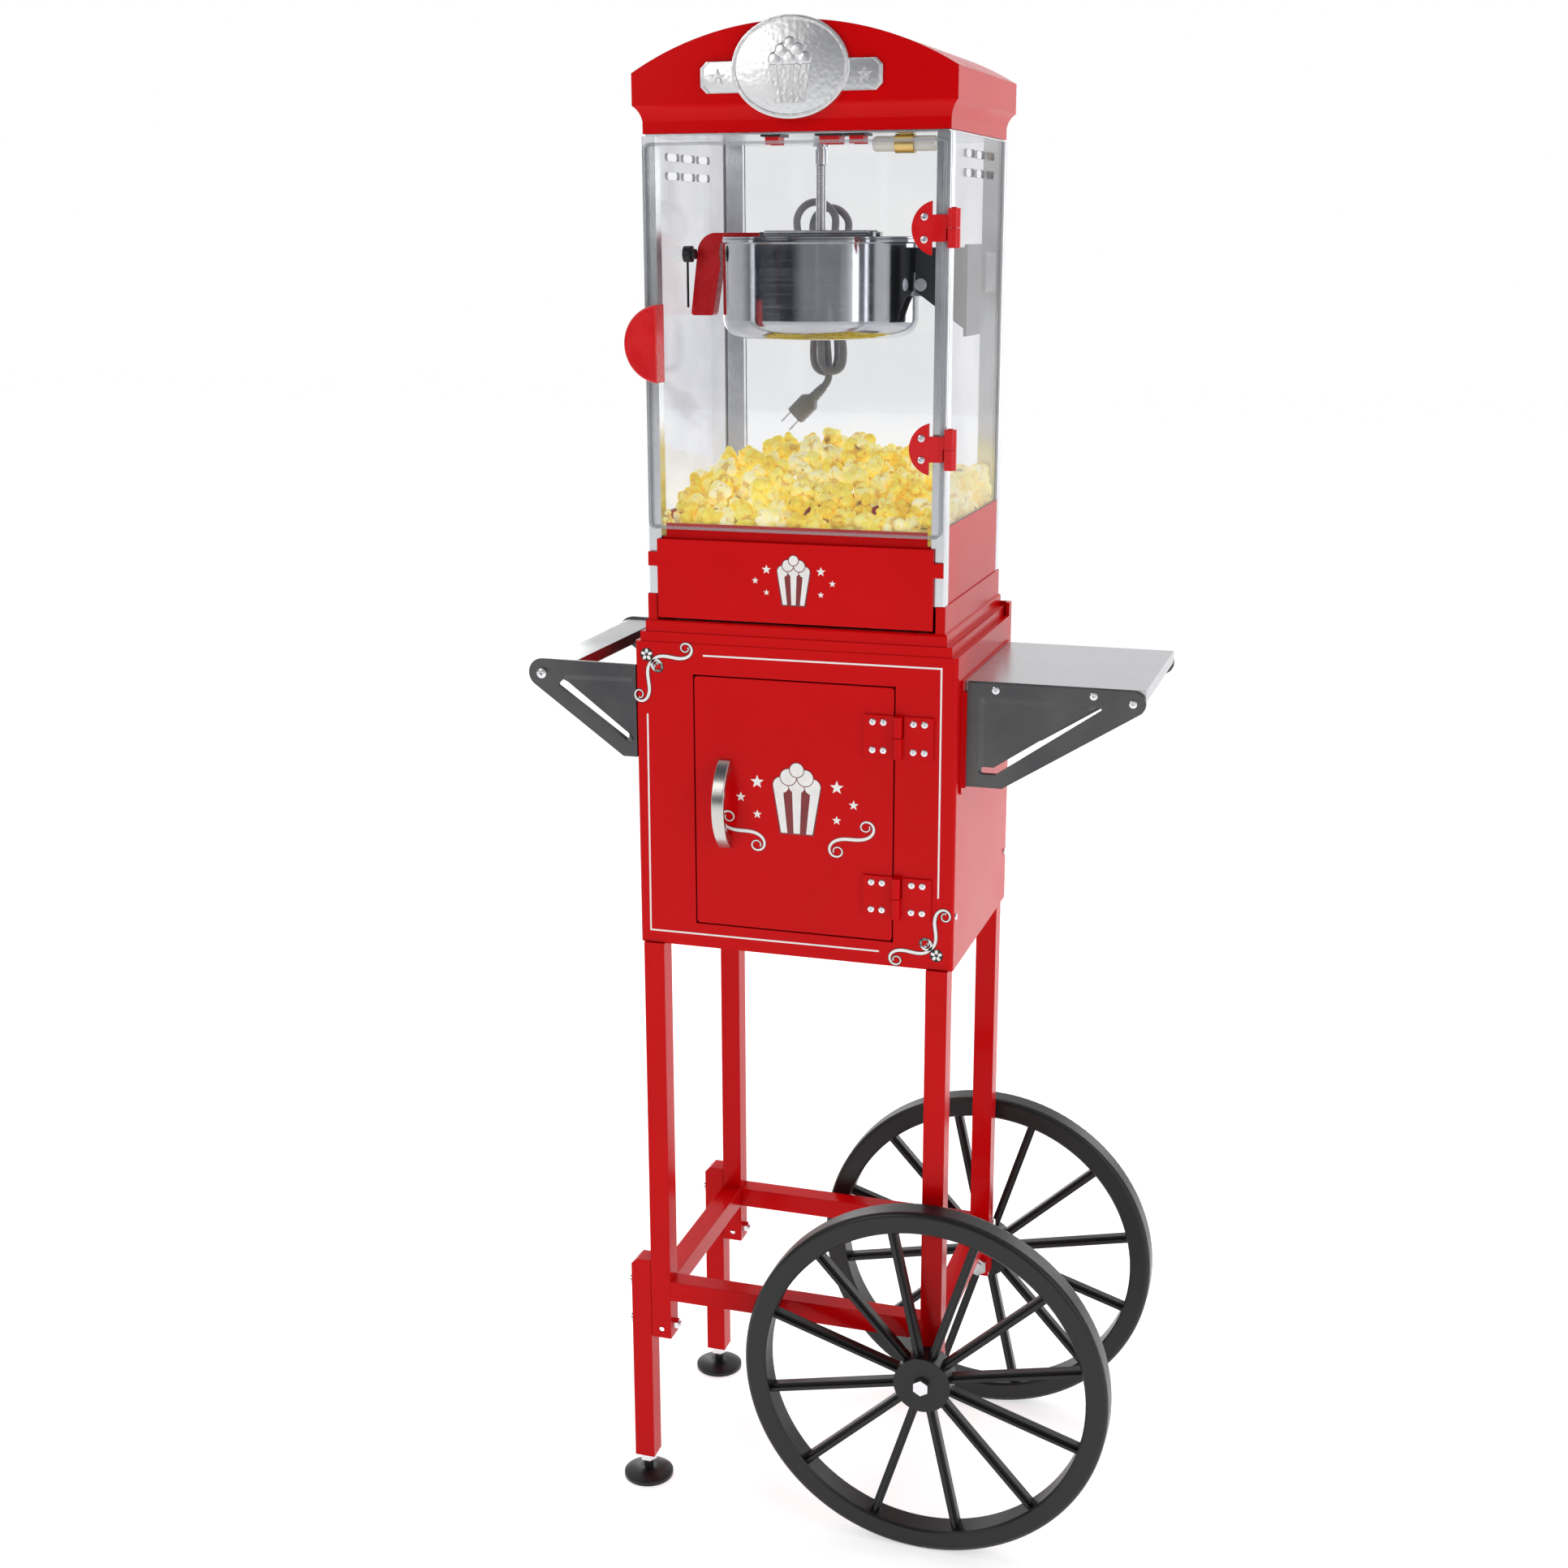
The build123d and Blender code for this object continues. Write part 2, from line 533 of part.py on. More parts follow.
def door_hinge_leaves():
    """Half-moon leaves on the glass, each with the upper half of a barrel."""
    x, y = DOOR_HINGE
    with BuildPart() as leaves:
        for z0, z1 in DOOR_HINGE_Z:
            middle = (z0 + z1) / 2
            with BuildSketch(Plane.XZ.offset(4.0)):
                with BuildLine():
                    Polyline((134, middle + 12), (x, middle + 12), (x, middle - 12), (134, middle - 12),
                             (134, middle - 24))
                    ThreePointArc((134, middle - 24), (115, middle), (134, middle + 24))
                    Line((134, middle + 24), (134, middle + 12))
                make_face()
            extrude(amount=-3.0)
            block((x - 7, y - 7, z0 - 1), (x + 7, DOOR_Y[1], middle + 0.3), Mode.SUBTRACT)
            block((x - 7.5, -4, middle + 0.3), (x - 3, -1, middle + 12))
            rod((x, y, middle + 0.3), (0, 0, 1), DOOR_HINGE_R, z1 - middle - 0.3)
            rod((x, y, middle - 1), (0, 0, 1), 2.5 + RUN, z1 - middle + 3, Mode.SUBTRACT)
            for dz in (-10.0, 10.0):
                rod((127, 0, middle + dz), (0, -1, 0), 2.0, 5, Mode.SUBTRACT)
    save(leaves, "door_hinge_leaves")


def door_hinge_screws():
    with BuildPart() as screws:
        for z0, z1 in DOOR_HINGE_Z:
            for dz in (-10.0, 10.0):
                rod((127, -4, (z0 + z1) / 2 + dz), (0, -1, 0), 3.4, 1.2)
                rod((127, -4, (z0 + z1) / 2 + dz), (0, 1, 0), 1.9, 3)
    save(screws, "door_hinge_screws")


def door_hinge_mounts():
    """Lower barrel halves with their pins, on leaves fixed to the outside of the post."""
    x, y = DOOR_HINGE
    with BuildPart() as mounts:
        for z0, z1 in DOOR_HINGE_Z:
            middle = (z0 + z1) / 2
            rod((x, y, z0), (0, 0, 1), DOOR_HINGE_R, middle - z0)
            rod((x, y, z0), (0, 0, 1), 2.5, z1 - z0 + 1)
            block((HEAD_X, y, z0), (HEAD_X + 2, HEAD_Y[0] + POST - 1, middle))
    save(mounts, "door_hinge_mounts")


# ---- Canopy ---------------------------------------------------------------------------------
def canopy_outline(z, inset):
    """Outline of the canopy in plan at a height, drawn in on every side by inset."""
    mid_y = sum(ROOF_Y) / 2
    with BuildSketch(Plane.XY.offset(z)) as outline:
        with Locations((0, mid_y)):
            Rectangle(2 * (ROOF_HALF - inset), ROOF_Y[1] - ROOF_Y[0] - 2 * inset)
    return outline.sketch


def canopy():
    """Hollow barrel-topped canopy: arched body, concave cove and a straight lip."""
    with BuildPart() as roof:
        for inset, top in ((0.0, True), (SHEET, False)):
            mode = Mode.ADD if top else Mode.SUBTRACT
            half = ROOF_HALF - inset
            with BuildSketch(Plane.XZ.offset(-ROOF_Y[0] - inset)):
                with BuildLine():
                    Polyline((-half, ROOF_SPRING_Z), (-half, ROOF_BAND_Z), (half, ROOF_BAND_Z),
                             (half, ROOF_SPRING_Z))
                    ThreePointArc((half, ROOF_SPRING_Z), (0, ROOF_TOP_Z - inset),
                                  (-half, ROOF_SPRING_Z))
                make_face()
            extrude(amount=-(ROOF_Y[1] - ROOF_Y[0] - 2 * inset), mode=mode)
            loft([canopy_outline(ROOF_COVE_Z, inset + 7.5),
                  canopy_outline((ROOF_COVE_Z + ROOF_BAND_Z) / 2, inset + 5.5),
                  canopy_outline(ROOF_BAND_Z, inset)], mode=mode)
            extrude(canopy_outline(ROOF_LIP_Z, inset + 7.5), amount=ROOF_COVE_Z - ROOF_LIP_Z, mode=mode)
        rod((CORD_X, ROOF_Y[1] - 5, GLAND_Z), (0, 1, 0), 6.0, 10, Mode.SUBTRACT)
    save(roof, "canopy")


def ceiling_panel():
    x, y0, y1 = ROOF_HALF - 9.6, 7.6, 248.0
    with BuildPart() as panel:
        block((-x, y0, CEILING_Z), (x, y1, CEILING_Z + SHEET))
        rod((KETTLE[0], KETTLE[1], CEILING_Z - 1), (0, 0, 1), SHAFT_R + 1.5, SHEET + 2, Mode.SUBTRACT)
        for sx, width in zip(SWITCH_X, SWITCH_W):
            half_x, half_y = width / 2 + 1.5, SWITCH_L / 2 + 1.5
            block((sx - half_x, SWITCH_Y - half_y, CEILING_Z - 1),
                  (sx + half_x, SWITCH_Y + half_y, CEILING_Z + SHEET + 1), Mode.SUBTRACT)
    save(panel, "ceiling_panel")


def plaque():
    """Two-layer badge on the canopy's front: an oval over a bar, with a plain carton relief."""
    z, bar_z = 1485.5, 1478.0
    face = -ROOF_Y[0]
    with BuildPart() as badge:
        with BuildSketch(Plane.XZ.offset(face)):
            with Locations((0, bar_z)):
                bar = Rectangle(174, 28)
                chamfer(bar.vertices(), 6)
        extrude(amount=3.0)
        with BuildSketch(Plane.XZ.offset(face)):
            with Locations((0, z)):
                Ellipse(56, 45)
        extrude(amount=5.0)
        with BuildSketch(Plane.XZ.offset(face + 5.0)):
            with Locations((0, z)):
                Ellipse(53, 42)
                Ellipse(50, 39, mode=Mode.SUBTRACT)
        extrude(amount=1.2)
        with BuildSketch(Plane.XZ.offset(face + 5.0)):
            with BuildLine():
                Polyline((-20, z + 4), (20, z + 4), (14, z - 29), (-14, z - 29), (-20, z + 4))
            make_face()
            for dx in (-9.0, 0.0, 9.0):
                with Locations((dx, z - 12)):
                    Rectangle(3, 40, mode=Mode.SUBTRACT)
            for dx, dz, r in ((-13, 9, 7), (0, 12, 8), (13, 9, 7), (-6, 19, 6), (7, 20, 6)):
                with Locations((dx, z + dz)):
                    Circle(r)
        extrude(amount=1.6)
        with BuildSketch(Plane.XZ.offset(face + 3.0)):
            for side in (-1, 1):
                with Locations((side * 70, bar_z)):
                    RegularPolygon(7, 4)
        extrude(amount=1.2)
    save(badge, "plaque")


def drive_motor():
    """Motor and gearbox on top of the ceiling panel."""
    x, y = KETTLE
    z = CEILING_Z + SHEET
    with BuildPart() as motor:
        block((x - 38, y - 30, z), (x + 38, y + 30, z + 26))
        fillet(motor.edges().filter_by(Axis.Z), 5)
        rod((x + 8, y, z + 26), (0, 0, 1), 24, 24)
        rod((x, y, z - 1), (0, 0, 1), SHAFT_R + RUN, 16, Mode.SUBTRACT)
    save(motor, "drive_motor")


def drive_shaft():
    x, y = KETTLE
    with BuildPart() as shaft:
        rod((x, y, SHAFT_JOINT_Z + 0.5), (0, 0, 1), SHAFT_R, CEILING_Z + SHEET + 12 - SHAFT_JOINT_Z)
        rod((x, y, SHAFT_JOINT_Z + 0.5), (0, 0, 1), SHAFT_R + 1.2, 14)
        rod((x, y, CEILING_Z - 7), (0, 0, 1), 8.5, 6)
    save(shaft, "drive_shaft")


def lamp_holder():
    """Brass clip and two sockets that hang the lamp under the ceiling."""
    y, z = 34.0, CEILING_Z - 9
    with BuildPart() as holder:
        rod((90, y, z), (1, 0, 0), 8.6, 18)
        rod((89, y, z), (1, 0, 0), 7.2, 20, Mode.SUBTRACT)
        block((93, y - 3, z + 7.5), (105, y + 3, CEILING_Z))
    save(holder, "lamp_holder")


def lamp():
    y, z = 34.0, CEILING_Z - 9
    with BuildPart() as tube:
        rod((68, y, z), (1, 0, 0), 7.0, 62)
        fillet(tube.edges().filter_by(GeomType.CIRCLE), 4)
    save(tube, "lamp")


def switch_housings():
    """Open-bottomed cups, each with the cross pin that its rocker tips on."""
    with BuildPart() as housings:
        for x, width in zip(SWITCH_X, SWITCH_W):
            half_x, half_y = width / 2, SWITCH_L / 2
            block((x - half_x - 3, SWITCH_Y - half_y - 3, CEILING_Z - 2),
                  (x + half_x + 3, SWITCH_Y + half_y + 3, CEILING_Z))
            block((x - half_x - 1.4, SWITCH_Y - half_y - 1.4, CEILING_Z),
                  (x + half_x + 1.4, SWITCH_Y + half_y + 1.4, CEILING_Z + 20))
            block((x - half_x - 0.4, SWITCH_Y - half_y - 0.4, CEILING_Z - 3),
                  (x + half_x + 0.4, SWITCH_Y + half_y + 0.4, CEILING_Z + 12), Mode.SUBTRACT)
            rod((x - half_x - 1, SWITCH_Y, SWITCH_AXIS_Z), (1, 0, 0), SWITCH_PIN_R, width + 2)
    save(housings, "switch_housings")


def rocker(x, width, name):
    """Rocker cap that tips a few degrees either way inside its housing."""
    half = SWITCH_L / 2 - 1.0
    low, top = CEILING_Z - 9, SWITCH_AXIS_Z + 3
    with BuildPart() as cap:
        with BuildSketch(Plane.YZ.offset(x - width / 2)):
            with BuildLine():
                Polyline((SWITCH_Y - half, top), (SWITCH_Y - half + 1, low))
                ThreePointArc((SWITCH_Y - half + 1, low), (SWITCH_Y, low + 2), (SWITCH_Y + half - 1, low))
                Polyline((SWITCH_Y + half - 1, low), (SWITCH_Y + half, top), (SWITCH_Y - half, top))
            make_face()
        extrude(amount=width)
        rod((x - width, SWITCH_Y, SWITCH_AXIS_Z), (1, 0, 0), SWITCH_PIN_R + RUN, 2 * width, Mode.SUBTRACT)
    save(cap, name)


# ---- Kettle ---------------------------------------------------------------------------------
def kettle():
    """Deep pan with a rolled rim, a bar across its mouth with the flaps' pins, and a pivot ear."""
    x, y = KETTLE
    wall, floor = 2.0, 4.0
    corner_x, corner_z = KETTLE_R - 18, KETTLE_Z0 + 18
    outer_bend, inner_bend = 18 * sin(radians(45)), 15 * sin(radians(45))
    px, pz = KETTLE_PIVOT
    with BuildPart() as pan:
        with BuildSketch(Plane.XZ):
            with BuildLine():
                Polyline((0, KETTLE_Z0), (corner_x, KETTLE_Z0))
                ThreePointArc((corner_x, KETTLE_Z0), (corner_x + outer_bend, corner_z - outer_bend),
                              (KETTLE_R, corner_z))
                Polyline((KETTLE_R, corner_z), (KETTLE_R, KETTLE_Z1 - 4), (KETTLE_R + 2, KETTLE_Z1 - 3),
                         (KETTLE_R + 2, KETTLE_Z1), (KETTLE_R - wall, KETTLE_Z1),
                         (KETTLE_R - wall, corner_z))
                ThreePointArc((KETTLE_R - wall, corner_z), (corner_x + inner_bend, corner_z - inner_bend),
                              (corner_x, KETTLE_Z0 + floor))
                Polyline((corner_x, KETTLE_Z0 + floor), (0, KETTLE_Z0 + floor), (0, KETTLE_Z0))
            make_face()
        revolve(axis=Axis.Z)
        block((-KETTLE_R - 1, -BAR_W / 2, KETTLE_Z1), (KETTLE_R + 1, BAR_W / 2, KETTLE_Z1 + 2.5))
        rod((0, 0, KETTLE_Z1 - 1), (0, 0, 1), SHAFT_R + RUN, 8, Mode.SUBTRACT)
    pan.part = pan.part.moved(Location((x, y, 0)))
    with BuildPart() as body:
        add(pan.part)
        block((x + KETTLE_R - 4.5, y - 8, pz - 11), (px, y + 8, pz + 11))
        rod((px, y - 8, pz), (0, 1, 0), 11, 16)
        rod((px, y - 9, pz), (0, 1, 0), PIVOT_R + RUN, 18, Mode.SUBTRACT)
        reach, height = FLAP_AXIS
        for side in (-1, 1):
            rod((x - 58, y + side * reach, height), (1, 0, 0), FLAP_PIN_R, 116)
            for end in (-58.0, 54.0):
                low, high = sorted((y + side * (BAR_W / 2 - 4.5), y + side * (reach + 1.5)))
                block((x + end, low, KETTLE_Z1 + 2), (x + end + 4, high, height + 1.5))
    save(body, "kettle")


def lid_flap(side, name):
    """Half-round flap with a rolled barrel at the bar."""
    x, y = KETTLE
    reach, height = FLAP_AXIS
    low_z, thick, inner = KETTLE_Z1 + 0.6, 1.6, reach - 1.5
    with BuildPart() as flap:
        rod((x, y, low_z), (0, 0, 1), KETTLE_R + 1, thick)
        low, high = sorted((y - side * (KETTLE_R + 10), y + side * inner))
        block((x - KETTLE_R - 10, low, low_z - 1), (x + KETTLE_R + 10, high, low_z + 5), Mode.SUBTRACT)
        low, high = sorted((y + side * inner, y + side * (reach + 1.5)))
        block((x - 52, low, low_z), (x + 52, high, height))
        rod((x - 53, y + side * reach, height), (1, 0, 0), 3.0, 106)
        rod((x - 60, y + side * reach, height), (1, 0, 0), FLAP_PIN_R + RUN, 120, Mode.SUBTRACT)
        for end in (-62.0, 53.5):
            low, high = sorted((y + side * (reach - 5), y + side * (reach + 2.5)))
            block((x + end, low, low_z - 1), (x + end + 8.5, high, height + 5), Mode.SUBTRACT)
    save(flap, name)


def kettle_handle():
    """Insulated grip: a strap along the bar that turns down outside the pan."""
    x, y = KETTLE
    top, strap = KETTLE_Z1 + 2.5, 4.0
    outer_x, inner_x, low, half_w = -144.0, -120.5, 1260.0, 7.5
    with BuildPart() as grip:
        with BuildSketch(Plane.XZ.offset(-(y - half_w))):
            with BuildLine():
                Polyline((-31, top), (-31, top + strap), (-118, top + strap))
                RadiusArc((-118, top + strap), (-136, top - 12), -20)
                Polyline((-136, top - 12), (outer_x, low), (inner_x, low), (-112, top - 26))
                RadiusArc((-112, top - 26), (-108, top), 30)
                Line((-108, top), (-31, top))
            make_face()
        extrude(amount=-2 * half_w)
        fillet(grip.edges().filter_by(Axis.Y).group_by(Axis.Z)[0], 3)
    save(grip, "kettle_handle")


def agitator():
    """Stirring rod with two blades that sweep the pan's floor."""
    x, y = KETTLE
    blade_z = KETTLE_Z0 + 6
    with BuildPart() as stirrer:
        rod((x, y, blade_z), (0, 0, 1), SHAFT_R, SHAFT_JOINT_Z - blade_z)
        rod((x, y, blade_z), (0, 0, 1), 9, 14)
        block((x - 72, y - 2, blade_z), (x + 72, y + 2, blade_z + 8))
        block((x - 2, y - 60, blade_z), (x + 2, y + 60, blade_z + 8))
    save(stirrer, "agitator")


def kettle_bracket():
    """Two black plates on a wall flange, with the kettle's ear between them."""
    px, pz = KETTLE_PIVOT
    y = KETTLE[1]
    wall_x = 145.5
    with BuildPart() as bracket:
        block((wall_x - 3, y - 32, pz - 48), (wall_x, y + 32, pz + 38))
        for near, far in ((-13.5, -10.0), (10.0, 13.5)):
            with BuildSketch(Plane.XZ.offset(-(y + near))):
                with BuildLine():
                    Polyline((px - 6, pz - 6), (px - 2, pz - 9), (wall_x - 2, pz - 45),
                             (wall_x - 2, pz + 35), (px - 6, pz + 35), (px - 6, pz - 6))
                make_face()
            extrude(amount=-(far - near))
        rod((px, y - 20, pz), (0, 1, 0), PIVOT_R, 40, Mode.SUBTRACT)
    save(bracket, "kettle_bracket")


def kettle_pin():
    px, pz = KETTLE_PIVOT
    y = KETTLE[1]
    with BuildPart() as pin:
        rod((px, y - 13.5, pz), (0, 1, 0), PIVOT_R, 27)
        rod((px, y - 16.5, pz), (0, 1, 0), 6.0, 3)
        rod((px, y + 13.5, pz), (0, 1, 0), 6.0, 3)
    save(pin, "kettle_pin")


def junction_box():
    with BuildPart() as box:
        block((112, 176, 1282), (146.5, 226, 1322))
        fillet(box.edges().filter_by(Axis.Y), 4)
    save(box, "junction_box")


def handle_rest():
    """Knob and spring wire on the left pane, beside the kettle's handle."""
    wall_x, y, z = -146.5, 111.0, 1320.0
    with BuildPart() as rest:
        rod((wall_x, y, z), (1, 0, 0), 8, 8)
        rod((wall_x, y, z), (1, 0, 0), 5, 12)
        rod((wall_x + 3, y, z - 52), (0, 0, 1), 1.2, 52)
    save(rest, "handle_rest")


# ---- Shelf and push handle ------------------------------------------------------------------
def shelf():
    """Stainless shelf plate with turned-down edges."""
    x0, x1 = SHELF_X
    y0, y1 = SHELF_Y
    with BuildPart() as plate:
        block((x0, y0, SHELF_Z - 12), (x1, y1, SHELF_Z))
        block((x0 - 1, y0 + SHELF_T, SHELF_Z - 13),
              (x1 - SHELF_T, y1 - SHELF_T, SHELF_Z - SHELF_T), Mode.SUBTRACT)
    save(plate, "shelf")


def pressed_plate(y, outward, edge, recess, dish, slot):
    """A bracket plate with a sloping recess in its outer face and an open slot along the recess's foot."""
    face = y if outward < 0 else y + BRACKET_T
    with BuildSketch(Plane.XZ.offset(-y)) as plate:
        add(edge)
    extrude(plate.sketch, amount=-BRACKET_T)
    with BuildSketch(Plane.XZ.offset(-face)) as rim:
        fillet(Polygon(*recess, align=None).vertices(), 4)
    with BuildSketch(Plane.XZ.offset(outward * RECESS - face)) as floor:
        fillet(Polygon(*dish, align=None).vertices(), 2)
    loft([rim.sketch, floor.sketch], mode=Mode.SUBTRACT)
    with BuildSketch(Plane.XZ.offset(-y)) as gap:
        fillet(Polygon(*slot, align=None).vertices(), 1.5)
    extrude(gap.sketch, amount=-BRACKET_T, mode=Mode.SUBTRACT)


def shelf_brackets():
    """Triangular pressed brackets that end in a round nose."""
    wall_x, low, top = 169.5, 816.0, SHELF_NOSE[1] + SHELF_NOSE_R
    x, z = SHELF_NOSE
    with BuildSketch() as outline:
        with BuildLine():
            Polyline((wall_x, low), (wall_x, top), (x, top))
            ThreePointArc((x, top), (x + SHELF_NOSE_R, z), (x + 6.5, z - 10.1))
            Polyline((x + 6.5, z - 10.1), (wall_x + 36, low), (wall_x, low))
        make_face()
    recess = ((wall_x + 12, 906), (wall_x + 134, 904), (wall_x + 30, low + 13), (wall_x + 12, low + 13))
    dish = ((wall_x + 17, 901), (wall_x + 122, 900), (wall_x + 27, low + 19), (wall_x + 17, low + 19))
    slot = ((wall_x + 132, 901), (wall_x + 30, low + 14), (wall_x + 15, low + 14),
            (wall_x + 15, low + 20), (wall_x + 27, low + 20), (wall_x + 127, 903))
    with BuildPart() as brackets:
        for y, outward in ((SHELF_Y[0] - BRACKET_T, -1), (SHELF_Y[1], 1)):
            pressed_plate(y, outward, outline.sketch, recess, dish, slot)
    save(brackets, "shelf_brackets")


def shelf_rail():
    """Red backing plate between the cabinet's side and the shelf's brackets."""
    x = CAB_W / 2
    with BuildPart() as rail:
        block((x, SHELF_Y[0] - 12, 808), (x + SHEET, SHELF_Y[1] + 12, 922))
        fillet(rail.edges().filter_by(Axis.X), 6)
        for y in (SHELF_Y[0] - BRACKET_T, SHELF_Y[1]):
            block((x + SHEET, y, 814), (x + 4.5, y + BRACKET_T, 910))
    save(rail, "shelf_rail")


def push_brackets():
    """Pressed arms that carry the push bar at the cart's left end."""
    wall_x, top, low = -CAB_W / 2, 922.0, 827.0
    x, z = HANDLE_NOSE
    with BuildSketch() as outline:
        with BuildLine():
            Polyline((wall_x, top), (x, z + HANDLE_NOSE_R))
            ThreePointArc((x, z + HANDLE_NOSE_R), (x - HANDLE_NOSE_R, z), (x - 8, z - 12.7))
            Polyline((x - 8, z - 12.7), (wall_x - 15, low), (wall_x, low), (wall_x, top))
        make_face()
    recess = ((wall_x - 85, 907), (wall_x - 3, 909), (wall_x - 3, low + 17), (wall_x - 10, low + 15))
    dish = ((wall_x - 78, 902), (wall_x - 9, 904), (wall_x - 9, low + 24), (wall_x - 14, low + 24))
    slot = ((wall_x - 85, 897), (wall_x - 79, 903), (wall_x - 9, low + 23), (wall_x - 9, low + 17))
    with BuildPart() as brackets:
        for y, outward in ((0.5, -1), (251.0, 1)):
            pressed_plate(y, outward, outline.sketch, recess, dish, slot)
    save(brackets, "push_brackets")


def push_bar():
    """Stainless strip wrapped round the two noses, with its inner edge turned down."""
    x, z = HANDLE_NOSE
    outer, reach, lip = HANDLE_NOSE_R - 2, 34.0, 12.0
    inner = outer - SHEET

    def around(radius, degrees):
        return x + radius * cos(radians(degrees)), z + radius * sin(radians(degrees))

    with BuildPart() as bar:
        with BuildSketch(Plane.XZ.offset(-4.5)):
            with BuildLine():
                ThreePointArc(around(outer, 210), around(outer, 150), around(outer, 90))
                Polyline((x, z + outer), (x + reach, z + outer), (x + reach, z + outer - lip),
                         (x + reach - SHEET, z + outer - lip), (x + reach - SHEET, z + inner), (x, z + inner))
                ThreePointArc(around(inner, 90), around(inner, 150), around(inner, 210))
                Line(around(inner, 210), around(outer, 210))
            make_face()
        extrude(amount=-246.5)
    save(bar, "push_bar")


# ---- Mains lead -----------------------------------------------------------------------------
def cord_gland():
    face = ROOF_Y[1]
    with BuildPart() as gland:
        rod((CORD_X, face - 6, GLAND_Z), (0, 1, 0), 5.8, 6)
        rod((CORD_X, face, GLAND_Z), (0, 1, 0), 9.0, 4)
        with Locations(Plane(origin=(CORD_X, face + 4, GLAND_Z), z_dir=(0, 1, 0))):
            Cone(7.0, 5.0, GLAND_L - 4, align=(Align.CENTER, Align.CENTER, Align.MIN))
    save(gland, "cord_gland")


def cord_lead():
    """The free stretch from the gland down to the hank, as straight runs and tangent arcs."""
    y, z = ROOF_Y[1] + GLAND_L, GLAND_Z
    points = [(CORD_X, y, z), (CORD_X, y + 13, z), (CORD_X, y + 25, z - 5), (CORD_X, y + 34.2, z - 14.2),
              (CORD_X, y + 39.2, z - 26.2), (CORD_X, y + 40.2, z - 41), (CORD_X, y + 39.9, z - 56),
              (CORD_X, LEAD_END_Y + 0.3, z - 71), (CORD_X, LEAD_END_Y, HANK_Z[1] + 2)]
    radii = []
    for before, here, after in zip(points, points[1:], points[2:]):
        run_in, run_out = Vector(*here) - Vector(*before), Vector(*after) - Vector(*here)
        half_turn = radians(run_in.get_angle(run_out)) / 2
        radii.append(0.45 * min(run_in.length, run_out.length) / tan(half_turn))
    print("cord radii", [round(r, 1) for r in radii])
    with BuildPart() as lead:
        with BuildLine() as route:
            FilletPolyline(*points, radius=radii)
        with BuildSketch(Plane(origin=points[0], z_dir=Vector(*points[1]) - Vector(*points[0]))):
            Circle(CORD_R)
        sweep(path=route.wires()[0])
    print("cord volume over section", round(lead.part.volume / (pi * CORD_R ** 2), 1),
          "length", round(route.wires()[0].length, 1))
    save(lead, "cord_lead")


def cord_hank():
    """Outer shape of the tied hank: bundles of loops above and below a waist at the tie."""
    z0, z1 = HANK_Z
    x, low_x, waist_z = HANK_X, HANK_X + 5, 1285.0
    top_z, low_z = z1 - 30, z0 + 24
    top, low, waist = HANK_TOP_HALF, HANK_LOW_HALF, HANK_WAIST_HALF
    with BuildPart() as hank:
        with BuildSketch(Plane.XZ.offset(-HANK_Y[0])):
            with BuildLine():
                ThreePointArc((x - top, top_z), (x, z1), (x + top, top_z))
                ThreePointArc((x + top, top_z), (x + waist, waist_z), (low_x + low, low_z))
                ThreePointArc((low_x + low, low_z), (low_x, z0), (low_x - low, low_z))
                ThreePointArc((low_x - low, low_z), (x - waist, waist_z), (x - top, top_z))
            make_face()
        extrude(amount=-(HANK_Y[1] - HANK_Y[0]))
        rod((CORD_X, LEAD_END_Y, z1 - 10), (0, 0, 1), CORD_R, 12)
        inward = (-PLUG_AIM[0], 0, -PLUG_AIM[2])
        rod(PLUG_START, inward, 4.5, 12)
    save(hank, "cord_hank")


def plug():
    """Two-blade plug that hangs below the hank, pointing down and to the left."""
    body_plane = Plane(origin=PLUG_START, z_dir=PLUG_AIM, x_dir=(0, 1, 0))
    with BuildPart() as mains_plug:
        with BuildSketch(body_plane):
            Circle(4.5)
        with BuildSketch(body_plane.offset(20)):
            RectangleRounded(14, 13, 4)
        loft()
        with BuildSketch(body_plane.offset(20)):
            RectangleRounded(16, 22, 5)
        extrude(amount=24)
        with BuildSketch(body_plane.offset(44)):
            for dy in (-6.35, 6.35):
                with Locations((0, dy)):
                    Rectangle(6.4, 1.5)
        extrude(amount=17)
    save(mains_plug, "plug")


